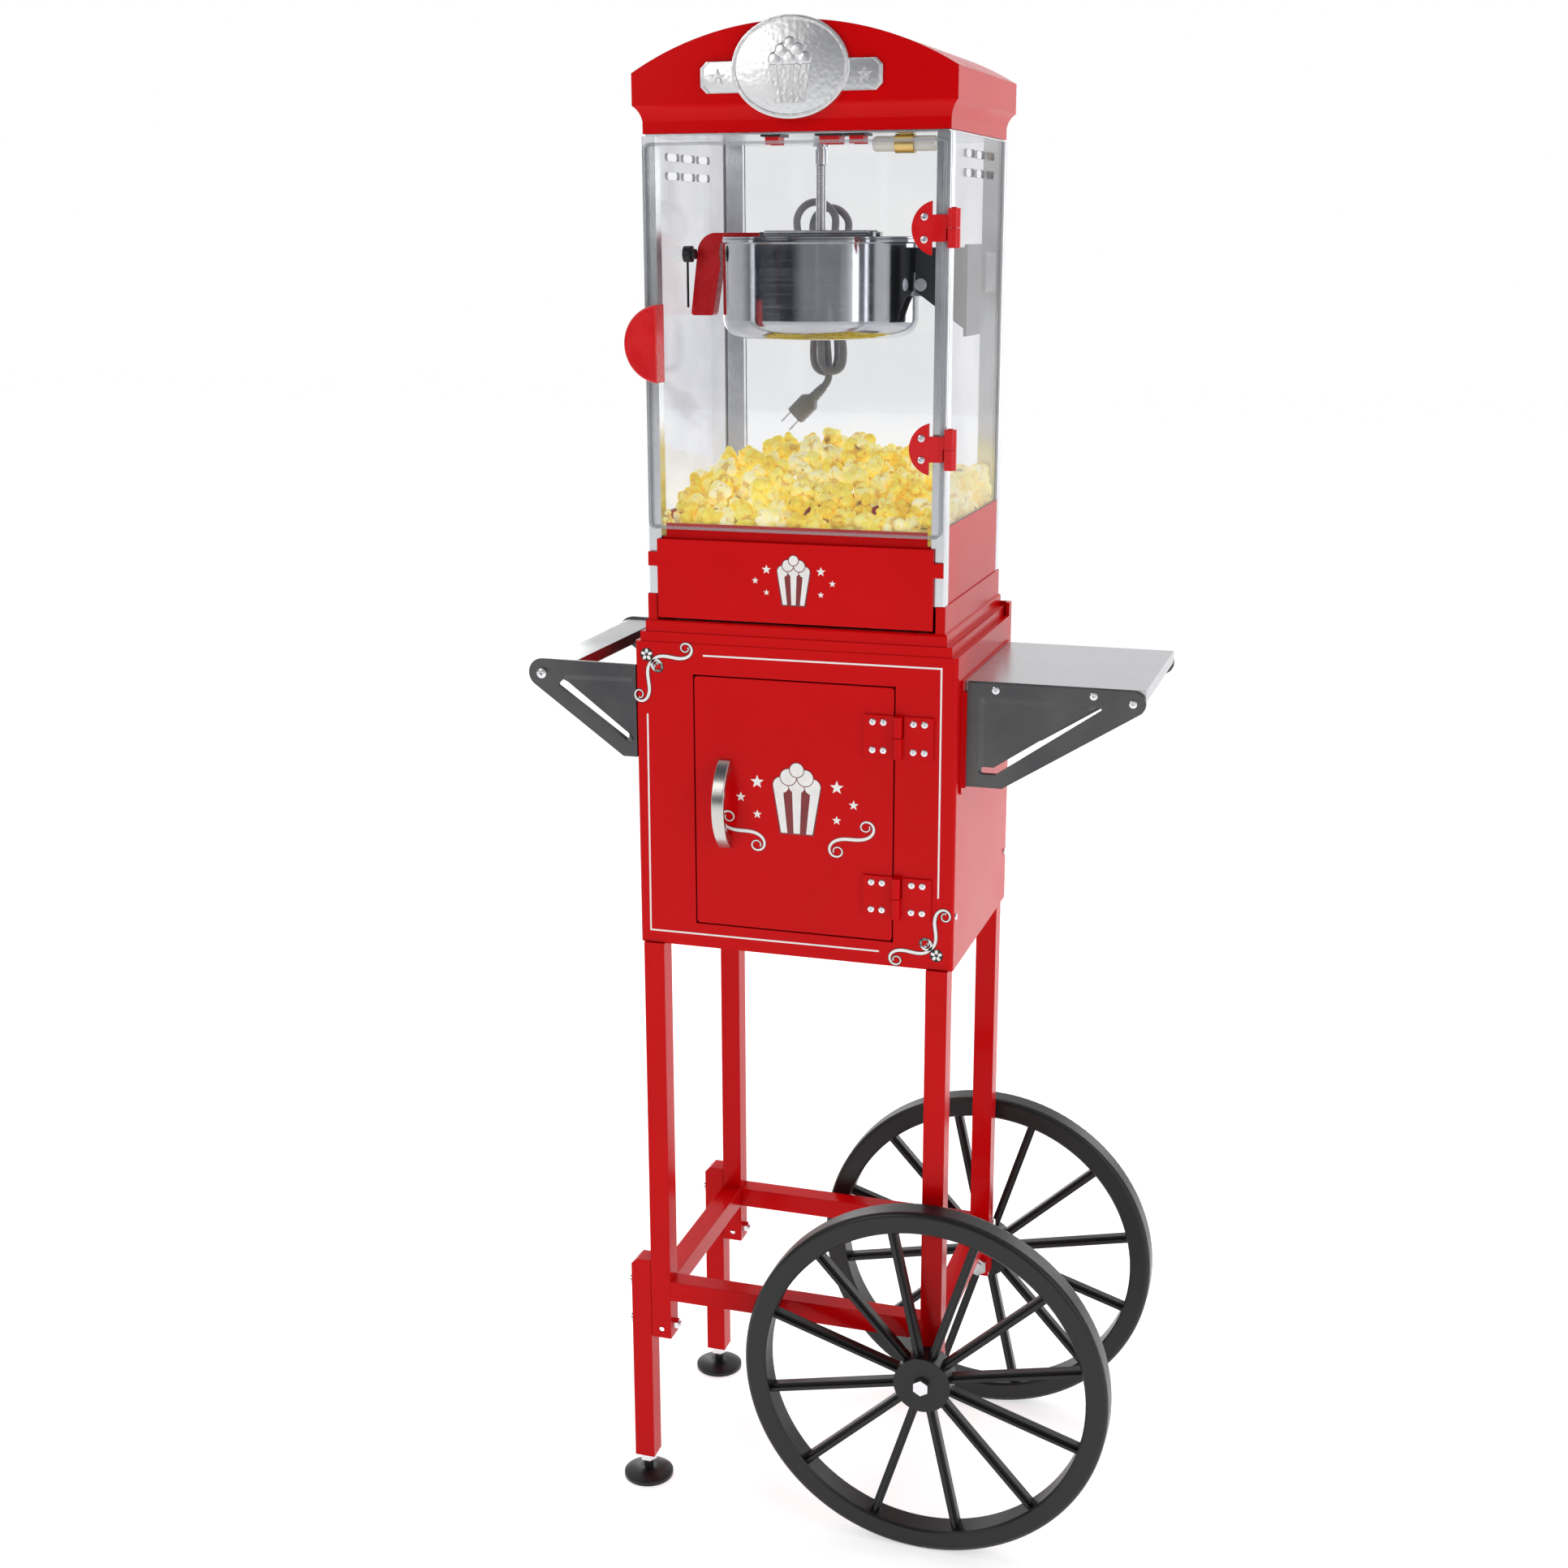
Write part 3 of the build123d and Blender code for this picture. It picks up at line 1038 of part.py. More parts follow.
# ---- Build everything -----------------------------------------------------------------------
def main():
    os.makedirs("parts", exist_ok=True)
    cabinet_shell()
    cabinet_back()
    cabinet_door()
    cabinet_door_pull()
    cabinet_hinge_halves(-1, "cabinet_hinge_leaves")
    cabinet_hinge_halves(1, "cabinet_hinge_mounts")
    cabinet_door_screws()
    case_screws()
    legs()
    stretchers()
    foot_posts()
    frame_bolts()
    frame_nuts()
    levelling_foot(LEG_Y[0], "levelling_foot_front")
    levelling_foot(LEG_Y[1], "levelling_foot_rear")
    wheel(LEG_Y[0] - LEG / 2 - WHEEL_GAP, -1, "wheel_front")
    wheel(LEG_Y[1] + LEG / 2 + WHEEL_GAP, 1, "wheel_rear")
    axle_bolts()
    head_base()
    deck()
    crumb_tray()
    drop_panel()
    posts()
    side_windows()
    back_window()
    skirts()
    glass_door()
    glass_door_handle()
    door_hinge_leaves()
    door_hinge_screws()
    door_hinge_mounts()
    canopy()
    ceiling_panel()
    plaque()
    drive_motor()
    drive_shaft()
    lamp_holder()
    lamp()
    switch_housings()
    for x, width, name in zip(SWITCH_X, SWITCH_W, ("switch_light", "switch_kettle", "switch_motor")):
        rocker(x, width, name)
    kettle()
    lid_flap(-1, "lid_flap_front")
    lid_flap(1, "lid_flap_rear")
    kettle_handle()
    agitator()
    kettle_bracket()
    kettle_pin()
    junction_box()
    handle_rest()
    shelf()
    shelf_brackets()
    shelf_rail()
    push_brackets()
    push_bar()
    cord_gland()
    cord_lead()
    cord_hank()
    plug()


main()
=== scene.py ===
"""Looks of the popcorn cart: materials, popcorn, cord, screws and painted trim on the frame.

Places are given in the cart's own layout, in millimetres: x from the middle of the cabinet, y from
the cabinet's front to the rear and z from the floor. at() turns them into the frame's metres.
"""
import json
from math import ceil, cos, exp, hypot, pi, radians, sin

import bmesh
import bpy
import numpy as np
from mathutils import Matrix, Vector


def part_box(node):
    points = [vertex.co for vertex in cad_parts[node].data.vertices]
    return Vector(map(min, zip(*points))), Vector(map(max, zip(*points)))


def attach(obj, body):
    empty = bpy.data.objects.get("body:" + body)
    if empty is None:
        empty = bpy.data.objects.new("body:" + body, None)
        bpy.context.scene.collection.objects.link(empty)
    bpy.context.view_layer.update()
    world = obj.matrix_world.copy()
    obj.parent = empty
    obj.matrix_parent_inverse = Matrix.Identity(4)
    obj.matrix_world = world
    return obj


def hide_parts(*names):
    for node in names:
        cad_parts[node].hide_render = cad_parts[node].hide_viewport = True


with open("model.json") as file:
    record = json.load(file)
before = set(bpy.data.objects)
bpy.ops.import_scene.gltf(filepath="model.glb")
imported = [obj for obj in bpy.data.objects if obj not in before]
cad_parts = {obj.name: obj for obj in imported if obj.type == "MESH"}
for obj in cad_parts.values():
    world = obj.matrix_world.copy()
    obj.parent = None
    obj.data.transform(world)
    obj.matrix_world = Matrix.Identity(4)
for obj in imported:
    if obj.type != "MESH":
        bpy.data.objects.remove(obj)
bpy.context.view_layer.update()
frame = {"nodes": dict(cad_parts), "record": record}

NODES = frame["nodes"]
MM = 0.001

CABINET_LOW, CABINET_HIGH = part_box("cabinet_shell")
LAYOUT_ORIGIN = Vector(((CABINET_LOW.x + CABINET_HIGH.x) / 2, CABINET_LOW.y, 0))


def at(x, y, z):
    """A point of the cart's layout, in millimetres, as a point of the frame."""
    return LAYOUT_ORIGIN + Vector((x, y, z)) * MM


# ---- Camera, light and stage ----------------------------------------------------------------
CAMERA_PLACE = Vector((0.5599, -2.0403, 1.3354))
CAMERA_TURN, CAMERA_TILT, CAMERA_ROLL = 17.397, 14.676, -0.16   # degrees
CAMERA_LENS, CAMERA_SENSOR = 47.88, 36.0
FLOOR_HALF = 14.0


def camera():
    data = bpy.data.cameras.new("camera")
    data.lens, data.sensor_width = CAMERA_LENS, CAMERA_SENSOR
    data.clip_end = 100
    view = bpy.data.objects.new("camera", data)
    view.matrix_world = (Matrix.Translation(CAMERA_PLACE)
                         @ Matrix.Rotation(radians(CAMERA_TURN), 4, "Z")
                         @ Matrix.Rotation(radians(90 - CAMERA_TILT), 4, "X")
                         @ Matrix.Rotation(radians(CAMERA_ROLL), 4, "Z"))
    bpy.context.scene.collection.objects.link(view)
    bpy.context.scene.camera = view


def soft_light(name, place, target, width, height, power, colour=(1, 1, 1), mirrored=True):
    """A rectangular soft box that faces a target; mirrored says whether glossy surfaces show it."""
    data = bpy.data.lights.new(name, "AREA")
    data.shape, data.size, data.size_y = "RECTANGLE", width, height
    data.energy, data.color = power, colour
    lamp = bpy.data.objects.new(name, data)
    lamp.location = place
    lamp.visible_glossy = mirrored
    lamp.rotation_euler = (Vector(target) - Vector(place)).to_track_quat("-Z", "Y").to_euler()
    bpy.context.scene.collection.objects.link(lamp)


def lights():
    heart = (0, 0, 0.85)
    soft_light("key", (-2.0, -2.8, 2.4), heart, 1.6, 1.6, 30, (1, 0.985, 0.96))
    soft_light("fill", (3.0, -1.6, 1.8), heart, 1.2, 2.2, 18, (0.96, 0.98, 1))
    soft_light("top", (0.2, 0.4, 3.4), heart, 2.4, 2.4, 20, mirrored=False)
    soft_light("rear_strip", (-1.6, 2.4, 1.9), heart, 0.5, 2.4, 14)
    soft_light("rear_fill", (1.8, 2.6, 1.6), heart, 1.4, 1.8, 18)


class Tree:
    """Short way to add nodes: each named input takes a value or another node's output."""

    def __init__(self, owner):
        self.nodes, self.links = owner.node_tree.nodes, owner.node_tree.links

    def set(self, node, inputs):
        for name, value in inputs.items():
            if isinstance(value, bpy.types.NodeSocket):
                self.links.new(value, node.inputs[name])
            else:
                node.inputs[name].default_value = value

    def add(self, kind, inputs=None, **settings):
        node = self.nodes.new("ShaderNode" + kind)
        for name, value in settings.items():
            setattr(node, name, value)
        self.set(node, inputs or {})
        return node

    def ramp(self, factor, stops, smooth=False):
        """Colour over a factor; each stop is a place and a colour."""
        node = self.add("ValToRGB", {"Fac": factor})
        band = node.color_ramp
        band.interpolation = "EASE" if smooth else "LINEAR"
        while len(band.elements) < len(stops):
            band.elements.new(0.5)
        for element, (place, colour) in zip(band.elements, stops):
            element.position = place
            element.color = (*colour, 1)
        return node.outputs["Color"]

    def scaled(self, scale=(1, 1, 1)):
        """The piece's own coordinates, stretched."""
        place = self.add("TexCoord").outputs["Object"]
        return self.add("Mapping", {"Vector": place, "Scale": scale}).outputs["Vector"]

    def noise(self, vector, scale, detail=3.0, rough=0.55):
        return self.add("TexNoise", {"Vector": vector, "Scale": scale, "Detail": detail,
                                     "Roughness": rough}).outputs["Fac"]

    def between(self, value, low, high, start=0.3, end=0.7):
        """A value's range, moved to run from low to high."""
        return self.add("MapRange", {"Value": value, "From Min": start, "From Max": end,
                                     "To Min": low, "To Max": high}).outputs["Result"]

    def bump(self, height, strength, distance, normal=None):
        inputs = {"Height": height, "Strength": strength, "Distance": distance}
        if normal is not None:
            inputs["Normal"] = normal
        return self.add("Bump", inputs).outputs["Normal"]

    def bevel(self, radius):
        return self.add("Bevel", {"Radius": radius}, samples=4).outputs["Normal"]


def studio():
    """Pale surroundings: even for the camera, with soft darker bands where metal mirrors them."""
    world = bpy.data.worlds.new("studio")
    world.use_nodes = True
    tree = Tree(world)
    tree.nodes.clear()
    direction = tree.add("TexCoord").outputs["Generated"]
    parts = tree.add("SeparateXYZ", {"Vector": direction})
    height = tree.between(parts.outputs["Z"], 0, 1, -1, 1)
    upright = tree.ramp(height, ((0.0, (0.8,) * 3), (0.5, (0.95,) * 3), (0.75, (0.8, 0.81, 0.83)),
                                 (1.0, (1.0,) * 3)), True)
    turn = tree.add("Math", {0: parts.outputs["Y"], 1: parts.outputs["X"]}, operation="ARCTAN2")
    around = tree.between(turn.outputs[0], 0, 1, -pi, pi)
    light, middle, dark = (1.0,) * 3, (0.38, 0.38, 0.40), (0.03, 0.036, 0.05)
    bands = tree.ramp(around, (
        (0.0, light), (0.04, middle), (0.07, dark), (0.2, dark), (0.24, middle), (0.37, middle),
        (0.39, light), (0.445, light), (0.455, dark), (0.47, dark), (0.48, light), (0.52, light),
        (0.55, middle), (0.63, middle), (0.68, light), (1.0, light)))
    mixed = tree.add("Mix", {0: 1.0, 6: upright, 7: bands}, data_type="RGBA", blend_type="MULTIPLY")
    seen = tree.add("LightPath").outputs["Is Camera Ray"]
    plain = tree.add("Mix", {0: seen, 6: mixed.outputs[2], 7: (1, 1, 1, 1)}, data_type="RGBA")
    shade = tree.add("Background", {"Color": plain.outputs[2], "Strength": 1.0})
    output = tree.add("OutputWorld")
    tree.links.new(shade.outputs[0], output.inputs["Surface"])
    bpy.context.scene.world = world


def floor():
    bpy.ops.mesh.primitive_grid_add(x_subdivisions=8, y_subdivisions=8, size=2 * FLOOR_HALF)
    ground = bpy.context.object
    ground.name = "floor"
    mat, tree, shade = painted("pale_floor", Roughness=0.6, Specular_IOR_Level=0.2,
                               Emission_Color=(1, 1, 1, 1), Emission_Strength=0.52)
    grain = tree.noise(tree.scaled(), 30, 4)
    tree.set(shade, {"Base Color": tree.ramp(grain, ((0.3, (0.86,) * 3), (0.7, (0.89,) * 3)))})
    ground.data.materials.append(mat)


# ---- Materials ------------------------------------------------------------------------------
def painted(name, **values):
    """A new material with one Principled shader, and values set on the shader's own sockets."""
    mat = bpy.data.materials.new(name)
    mat.use_nodes = True
    shade = mat.node_tree.nodes["Principled BSDF"]
    for key, value in values.items():
        shade.inputs[key.replace("_", " ")].default_value = value
    return mat, Tree(mat), shade


def mottled(tree, low, high, scale):
    """A colour that drifts between two close shades."""
    return tree.ramp(tree.noise(tree.scaled(), scale), ((0.3, low), (0.7, high)))


RED_LOW, RED_HIGH = (0.54, 0.0008, 0.002), (0.60, 0.0014, 0.003)


def red_enamel():
    """Sprayed gloss enamel: faint orange peel, handling marks in the gloss and soft sheet edges."""
    mat, tree, shade = painted("red_enamel", Coat_Weight=0.05, Coat_Roughness=0.06,
                               Specular_IOR_Level=0.08)
    own = tree.scaled()
    marks = tree.noise(own, 11, 3)
    tree.set(shade, {
        "Base Color": mottled(tree, RED_LOW, RED_HIGH, 5),
        "Roughness": tree.between(marks, 0.20, 0.26),
        "Normal": tree.bump(tree.noise(own, 420, 2), 0.05, 0.0006, tree.bevel(0.0012)),
    })
    return mat


def red_plastic():
    """Glossy moulded plastic with a fine moulding texture."""
    mat, tree, shade = painted("red_plastic", Coat_Weight=0.15, Coat_Roughness=0.12,
                               Specular_IOR_Level=0.3)
    tree.set(shade, {
        "Base Color": mottled(tree, (0.58, 0.002, 0.005), (0.66, 0.004, 0.008), 30),
        "Roughness": tree.between(tree.noise(tree.scaled(), 60, 4), 0.2, 0.36),
        "Normal": tree.bump(tree.noise(tree.scaled(), 900, 2), 0.08, 0.0004, tree.bevel(0.0008)),
    })
    return mat


def black_plastic():
    """Satin moulded plastic: fine grain and a little dust dulling the gloss."""
    mat, tree, shade = painted("black_plastic", Specular_IOR_Level=0.4)
    dust = tree.noise(tree.scaled(), 9, 5, 0.6)
    tree.set(shade, {
        "Base Color": tree.ramp(dust, ((0.35, (0.005, 0.005, 0.0055)),
                                       (0.75, (0.010, 0.010, 0.011)))),
        "Roughness": tree.between(dust, 0.26, 0.42),
        "Normal": tree.bump(tree.noise(tree.scaled(), 700, 3), 0.12, 0.0004, tree.bevel(0.0015)),
    })
    return mat


def grey_plastic():
    mat, tree, shade = painted("grey_plastic")
    tree.set(shade, {
        "Base Color": mottled(tree, (0.20, 0.20, 0.21), (0.27, 0.27, 0.28), 40),
        "Roughness": tree.between(tree.noise(tree.scaled(), 80, 3), 0.35, 0.5),
        "Normal": tree.bump(tree.noise(tree.scaled(), 500, 2), 0.15, 0.0004, tree.bevel(0.0012)),
    })
    return mat


def cord_rubber():
    """Matt cable sheath with a faint drawn grain."""
    mat, tree, shade = painted("cord_rubber", Sheen_Weight=0.15)
    tree.set(shade, {
        "Base Color": mottled(tree, (0.21, 0.215, 0.235), (0.27, 0.28, 0.305), 60),
        "Roughness": tree.between(tree.noise(tree.scaled(), 120, 3), 0.42, 0.58),
        "Normal": tree.bump(tree.noise(tree.scaled(), 1500, 2), 0.1, 0.0003),
    })
    return mat


STEEL_LOW, STEEL_HIGH = (0.50, 0.50, 0.51), (0.60, 0.60, 0.61)
DECK_LIP_Y = 8.0
# Width in metres and share of the painted grey line that stands in for the light in a pane's
# polished rim.
PAINTED_RIM_WIDTH, PAINTED_RIM_SHARE = 0.0028, 0.45


def metal(name, low, high, gloss, brushed=None, bevel=0.0006, hammer=0.0):
    """Bare metal. brushed stretches the grain along the axis with the small number."""
    mat, tree, shade = painted(name, Metallic=1.0)
    cloud = tree.noise(tree.scaled(), 12, 4)
    normal = tree.bevel(bevel)
    rough = tree.between(cloud, gloss[0], gloss[1])
    if brushed:
        lines = tree.noise(tree.scaled(brushed), 1.0, 4, 0.7)
        fine = tree.between(lines, -0.03, 0.03)
        rough = tree.add("Math", {0: rough, 1: fine}, operation="ADD", use_clamp=True).outputs[0]
        normal = tree.bump(lines, 0.05, 0.0001, normal)
        cloud = tree.add("Math", {0: cloud, 1: fine}, operation="ADD").outputs[0]
    if hammer:
        cells = tree.add("TexVoronoi", {"Vector": tree.scaled(), "Scale": 260.0},
                         feature="SMOOTH_F1")
        normal = tree.bump(cells.outputs["Distance"], hammer, 0.0009, normal)
    tree.set(shade, {"Base Color": tree.ramp(cloud, ((0.3, low), (0.7, high))),
                     "Roughness": rough, "Normal": normal})
    return mat


def deck_steel():
    """Brushed steel with a front lip enamelled like the case around it."""
    mat, tree, shade = painted("deck_steel", Specular_IOR_Level=0.08)
    depth = tree.add("SeparateXYZ", {"Vector": tree.scaled()}).outputs["Y"]
    plain = tree.add("Math", {0: depth, 1: at(0, DECK_LIP_Y, 0).y},
                     operation="GREATER_THAN").outputs[0]
    lines = tree.noise(tree.scaled((8, 1500, 1500)), 1.0, 4, 0.7)
    steel = tree.ramp(lines, ((0.3, STEEL_LOW), (0.7, STEEL_HIGH)))
    enamel = mottled(tree, RED_LOW, RED_HIGH, 5)
    colour = tree.add("Mix", {0: plain, 6: enamel, 7: steel}, data_type="RGBA")
    tree.set(shade, {"Base Color": colour.outputs[2], "Metallic": plain,
                     "Roughness": tree.between(lines, 0.2, 0.3),
                     "Normal": tree.bump(lines, 0.05, 0.0001, tree.bevel(0.0006))})
    return mat


def near_outline(tree, node, width):
    """1 within a width of a node's sides and of its top and bottom, seen from the front."""
    low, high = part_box(node)
    parts = tree.add("SeparateXYZ", {"Vector": tree.scaled()})
    found = []
    for name, start, end in (("X", low.x, high.x), ("Z", low.z, high.z)):
        off = tree.add("Math", {0: parts.outputs[name], 1: (start + end) / 2}, operation="SUBTRACT")
        off = tree.add("Math", {0: off.outputs[0]}, operation="ABSOLUTE")
        found.append(tree.add("Math", {0: off.outputs[0], 1: (end - start) / 2 - width},
                              operation="GREATER_THAN").outputs[0])
    return tree.add("Math", {0: found[0], 1: found[1]}, operation="MAXIMUM").outputs[0]


def pane(name, axis, tint, edge, rim_of=None):
    """Clear sheet: see-through faces that mirror more at a slant, and darker sawn edges.

    axis is the direction that the sheet's large faces look along. rim_of names the node whose
    polished rim gets a painted grey line on those faces, standing in for the light seen in the rim.
    """
    mat = bpy.data.materials.new(name)
    mat.use_nodes = True
    tree = Tree(mat)
    tree.nodes.clear()
    smear = tree.noise(tree.scaled(), 7, 5)
    gloss = tree.add("BsdfGlossy", {"Color": (1, 1, 1, 1),
                                    "Roughness": tree.between(smear, 0.02, 0.09)})
    clear = tree.add("BsdfTransparent", {"Color": tree.ramp(smear, ((0.3, tint),
                                                                    (0.7, (0.985,) * 3)))})
    facing = tree.add("LayerWeight", {"Blend": 0.5}).outputs["Facing"]
    steep = tree.add("Math", {0: facing, 1: 5.0}, operation="POWER").outputs[0]
    share = tree.between(steep, 0.03, 0.6, 0.0, 1.0)
    face = tree.add("MixShader", {0: share, 1: clear.outputs[0], 2: gloss.outputs[0]})
    own = tree.add("SeparateXYZ", {"Vector": tree.add("TexCoord").outputs["Normal"]}).outputs[axis]
    flat = tree.add("Math", {0: own}, operation="ABSOLUTE").outputs[0]
    large = tree.add("Math", {0: flat, 1: 0.7}, operation="GREATER_THAN").outputs[0]
    side = tree.add("BsdfPrincipled", {"Base Color": (*edge, 1), "Roughness": 0.25, "Alpha": 0.85})
    if rim_of:
        # Painted rim line: a grey band near the outline, mixed onto the faces, stands in for the
        # light seen in the polished rim.
        line = tree.between(near_outline(tree, rim_of, PAINTED_RIM_WIDTH), 0.0, PAINTED_RIM_SHARE, 0.0, 1.0)
        face = tree.add("MixShader", {0: line, 1: face.outputs[0], 2: side.outputs[0]})
    both = tree.add("MixShader", {0: large, 1: side.outputs[0], 2: face.outputs[0]})
    output = tree.add("OutputMaterial")
    tree.links.new(both.outputs[0], output.inputs["Surface"])
    return mat


def lamp_glass():
    """Frosted glass with a warm core."""
    mat, tree, shade = painted("lamp_glass", Transmission_Weight=0.35, IOR=1.45)
    tree.set(shade, {"Base Color": mottled(tree, (0.92, 0.88, 0.78), (0.98, 0.95, 0.88), 50),
                     "Roughness": tree.between(tree.noise(tree.scaled(), 70, 3), 0.12, 0.25)})
    return mat


def white_paint():
    mat, tree, shade = painted("white_paint", Coat_Weight=0.3, Coat_Roughness=0.1)
    tree.set(shade, {"Base Color": mottled(tree, (0.80, 0.79, 0.76), (0.88, 0.87, 0.85), 60),
                     "Roughness": tree.between(tree.noise(tree.scaled(), 90, 3), 0.25, 0.4)})
    return mat


def ink(name, low, high):
    """Printed colour of a transfer under a thin varnish."""
    mat, tree, shade = painted(name, Coat_Weight=0.3, Coat_Roughness=0.12)
    tree.set(shade, {"Base Color": mottled(tree, low, high, 90),
                     "Roughness": tree.between(tree.noise(tree.scaled(), 120, 3), 0.3, 0.45)})
    return mat


def popcorn_material():
    """Popped corn: cream to butter yellow on the lobes, painted shade down to amber in the folds,
    brown at the hulls and a faint painted glow.
    """
    # Painted glow: this emission, coloured like the corn below, makes the kernels glow faintly
    # though they are no lamp.
    mat, tree, shade = painted("popcorn", Subsurface_Weight=0.2, Subsurface_Scale=0.004,
                               Coat_Weight=0.1, Coat_Roughness=0.25, Emission_Strength=0.3)
    facts = tree.add("SeparateColor", {"Color": tree.add("Attribute",
                                                         attribute_name="kernel").outputs["Color"]})
    fold, tint, hull = facts.outputs[0], facts.outputs[1], facts.outputs[2]
    grain = tree.noise(tree.scaled(), 160, 4)
    butter = tree.add("Math", {0: tint, 1: tree.between(grain, -0.3, 0.3)}, operation="ADD",
                      use_clamp=True).outputs[0]
    lobe = tree.ramp(butter, ((0.0, (0.95, 0.91, 0.58)), (0.3, (0.94, 0.85, 0.26)),
                              (0.7, (0.92, 0.76, 0.07)), (1.0, (0.86, 0.60, 0.03))))
    # Painted shade: the colour darkens to amber deep in the folds, where the lobes shade each
    # other.
    crease = tree.ramp(fold, ((0.0, (0.55, 0.26, 0.03)), (0.3, (0.95, 0.74, 0.32)),
                              (0.7, (1, 1, 1))))
    fold_shaded = tree.add("Mix", {0: 0.75, 6: lobe, 7: crease}, data_type="RGBA", blend_type="MULTIPLY")
    brown = tree.add("Mix", {0: hull, 6: fold_shaded.outputs[2], 7: (0.16, 0.045, 0.006, 1)},
                     data_type="RGBA")
    tree.set(shade, {
        "Base Color": brown.outputs[2],
        "Emission Color": brown.outputs[2],
        "Roughness": tree.between(grain, 0.38, 0.6),
        "Normal": tree.bump(tree.noise(tree.scaled(), 330, 4), 0.35, 0.0008),
    })
    return mat


MATERIALS = {
    "red_steel": red_enamel(),
    "red_plastic": red_plastic(),
    "black_plastic": black_plastic(),
    "grey_plastic": grey_plastic(),
    "cord_rubber": cord_rubber(),
    "lamp_glass": lamp_glass(),
    "white_paint": white_paint(),
    "red_ink": ink("red_ink", (0.17, 0.002, 0.003), (0.23, 0.003, 0.005)),
    "popcorn": popcorn_material(),
    "stainless": metal("brushed_steel", STEEL_LOW, STEEL_HIGH, (0.22, 0.30), (8, 1500, 1500)),
    "bar_steel": metal("bar_steel", (0.30, 0.30, 0.305), (0.38, 0.38, 0.385), (0.16, 0.24),
                       (1500, 8, 1500)),
    "bracket_steel": metal("bracket_steel", (0.075, 0.075, 0.079), (0.12, 0.118, 0.116), (0.3, 0.4),
                           (8, 1200, 1200)),
    "kettle_steel": metal("kettle_steel", (0.46, 0.47, 0.49), (0.55, 0.56, 0.58), (0.07, 0.13),
                          (8, 8, 600)),
    "deck_steel": deck_steel(),
    "black_steel": metal("blackened_steel", (0.03, 0.032, 0.036), (0.05, 0.052, 0.058),
                         (0.28, 0.4)),
    "zinc": metal("zinc_plate", (0.68, 0.68, 0.70), (0.80, 0.80, 0.82), (0.14, 0.26)),
    "nickel": metal("satin_nickel", (0.50, 0.49, 0.46), (0.62, 0.60, 0.57), (0.2, 0.28),
                    (1500, 1500, 8)),
    "aluminium": metal("aluminium", (0.66, 0.67, 0.69), (0.76, 0.77, 0.79), (0.2, 0.28),
                       (1800, 1800, 6)),
    "brass": metal("brass", (0.70, 0.48, 0.16), (0.80, 0.58, 0.24), (0.2, 0.32)),
    "badge": metal("badge_metal", (0.64, 0.645, 0.65), (0.74, 0.745, 0.75), (0.3, 0.4), hammer=0.3),
    "pane_door": pane("door_pane", 1, (0.95, 0.955, 0.96), (0.36, 0.38, 0.40), "glass_door"),
    "pane_side": pane("side_pane", 0, (0.84, 0.84, 0.87), (0.26, 0.265, 0.29)),
    "pane_back": pane("back_pane", 1, (0.95, 0.955, 0.96), (0.62, 0.64, 0.66)),
}
OWN_MATERIAL = {
    "glass_door": "pane_door", "side_windows": "pane_side", "back_window": "pane_back",
    "kettle": "kettle_steel", "lid_flap_front": "kettle_steel", "lid_flap_rear": "kettle_steel",
    "cabinet_hinge_leaves": "red_steel", "cabinet_hinge_mounts": "red_steel",
    "deck": "deck_steel", "shelf_brackets": "bracket_steel", "push_brackets": "bracket_steel",
    "push_bar": "bar_steel",
}


def dress_cad():
    """Give every CAD node the material of its slot, or its own."""
    for part in frame["record"]["subparts"]:
        name = part["node"]
        mat = MATERIALS[OWN_MATERIAL.get(name, part["material_slot"])]
        mesh = NODES[name].data
        mesh.materials.clear()
        mesh.materials.append(mat)


# ---- Mesh helpers ---------------------------------------------------------------------------
def new_piece(name, points, faces, mat, body, smooth=True):
    """A piece from points in the frame's metres, riding on a CAD body."""
    mesh = bpy.data.meshes.new(name)
    mesh.from_pydata([tuple(p) for p in points], [], faces)
    mesh.update()
    mesh.polygons.foreach_set("use_smooth", [smooth] * len(mesh.polygons))
    mesh.materials.append(MATERIALS[mat])
    obj = bpy.data.objects.new(name, mesh)
    bpy.context.scene.collection.objects.link(obj)
    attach(obj, body)
    return obj


def sharp_by_angle(obj, limit=35.0):
    """Keep folds steeper than a limit crisp under smooth shading."""
    obj.data.set_sharp_from_angle(angle=radians(limit))


class Mesh:
    """Points and faces that are collected before they become one piece."""

    def __init__(self):
        self.points, self.faces = [], []

    def rings(self, rings, close_start=True, close_end=True):
        """Skin a row of rings that have the same number of points."""
        first, count = len(self.points), len(rings[0])
        for ring in rings:
            self.points.extend(ring)
        for r in range(len(rings) - 1):
            a, b = first + r * count, first + (r + 1) * count
            for i in range(count):
                j = (i + 1) % count
                self.faces.append((a + i, a + j, b + j, b + i))
        if close_start:
            self.faces.append(tuple(reversed(range(first, first + count))))
        if close_end:
            last = first + (len(rings) - 1) * count
            self.faces.append(tuple(range(last, last + count)))

    def piece(self, name, mat, body, slot=None, smooth=True):
        return new_piece(name, self.points, self.faces, mat, body, smooth)


def cross_axes(direction):
    """Two unit vectors square to a direction and to each other."""
    away = Vector((0, 0, 1)) if abs(direction.z) < 0.9 else Vector((1, 0, 0))
    u = direction.cross(away).normalized()
    return u, direction.cross(u).normalized()


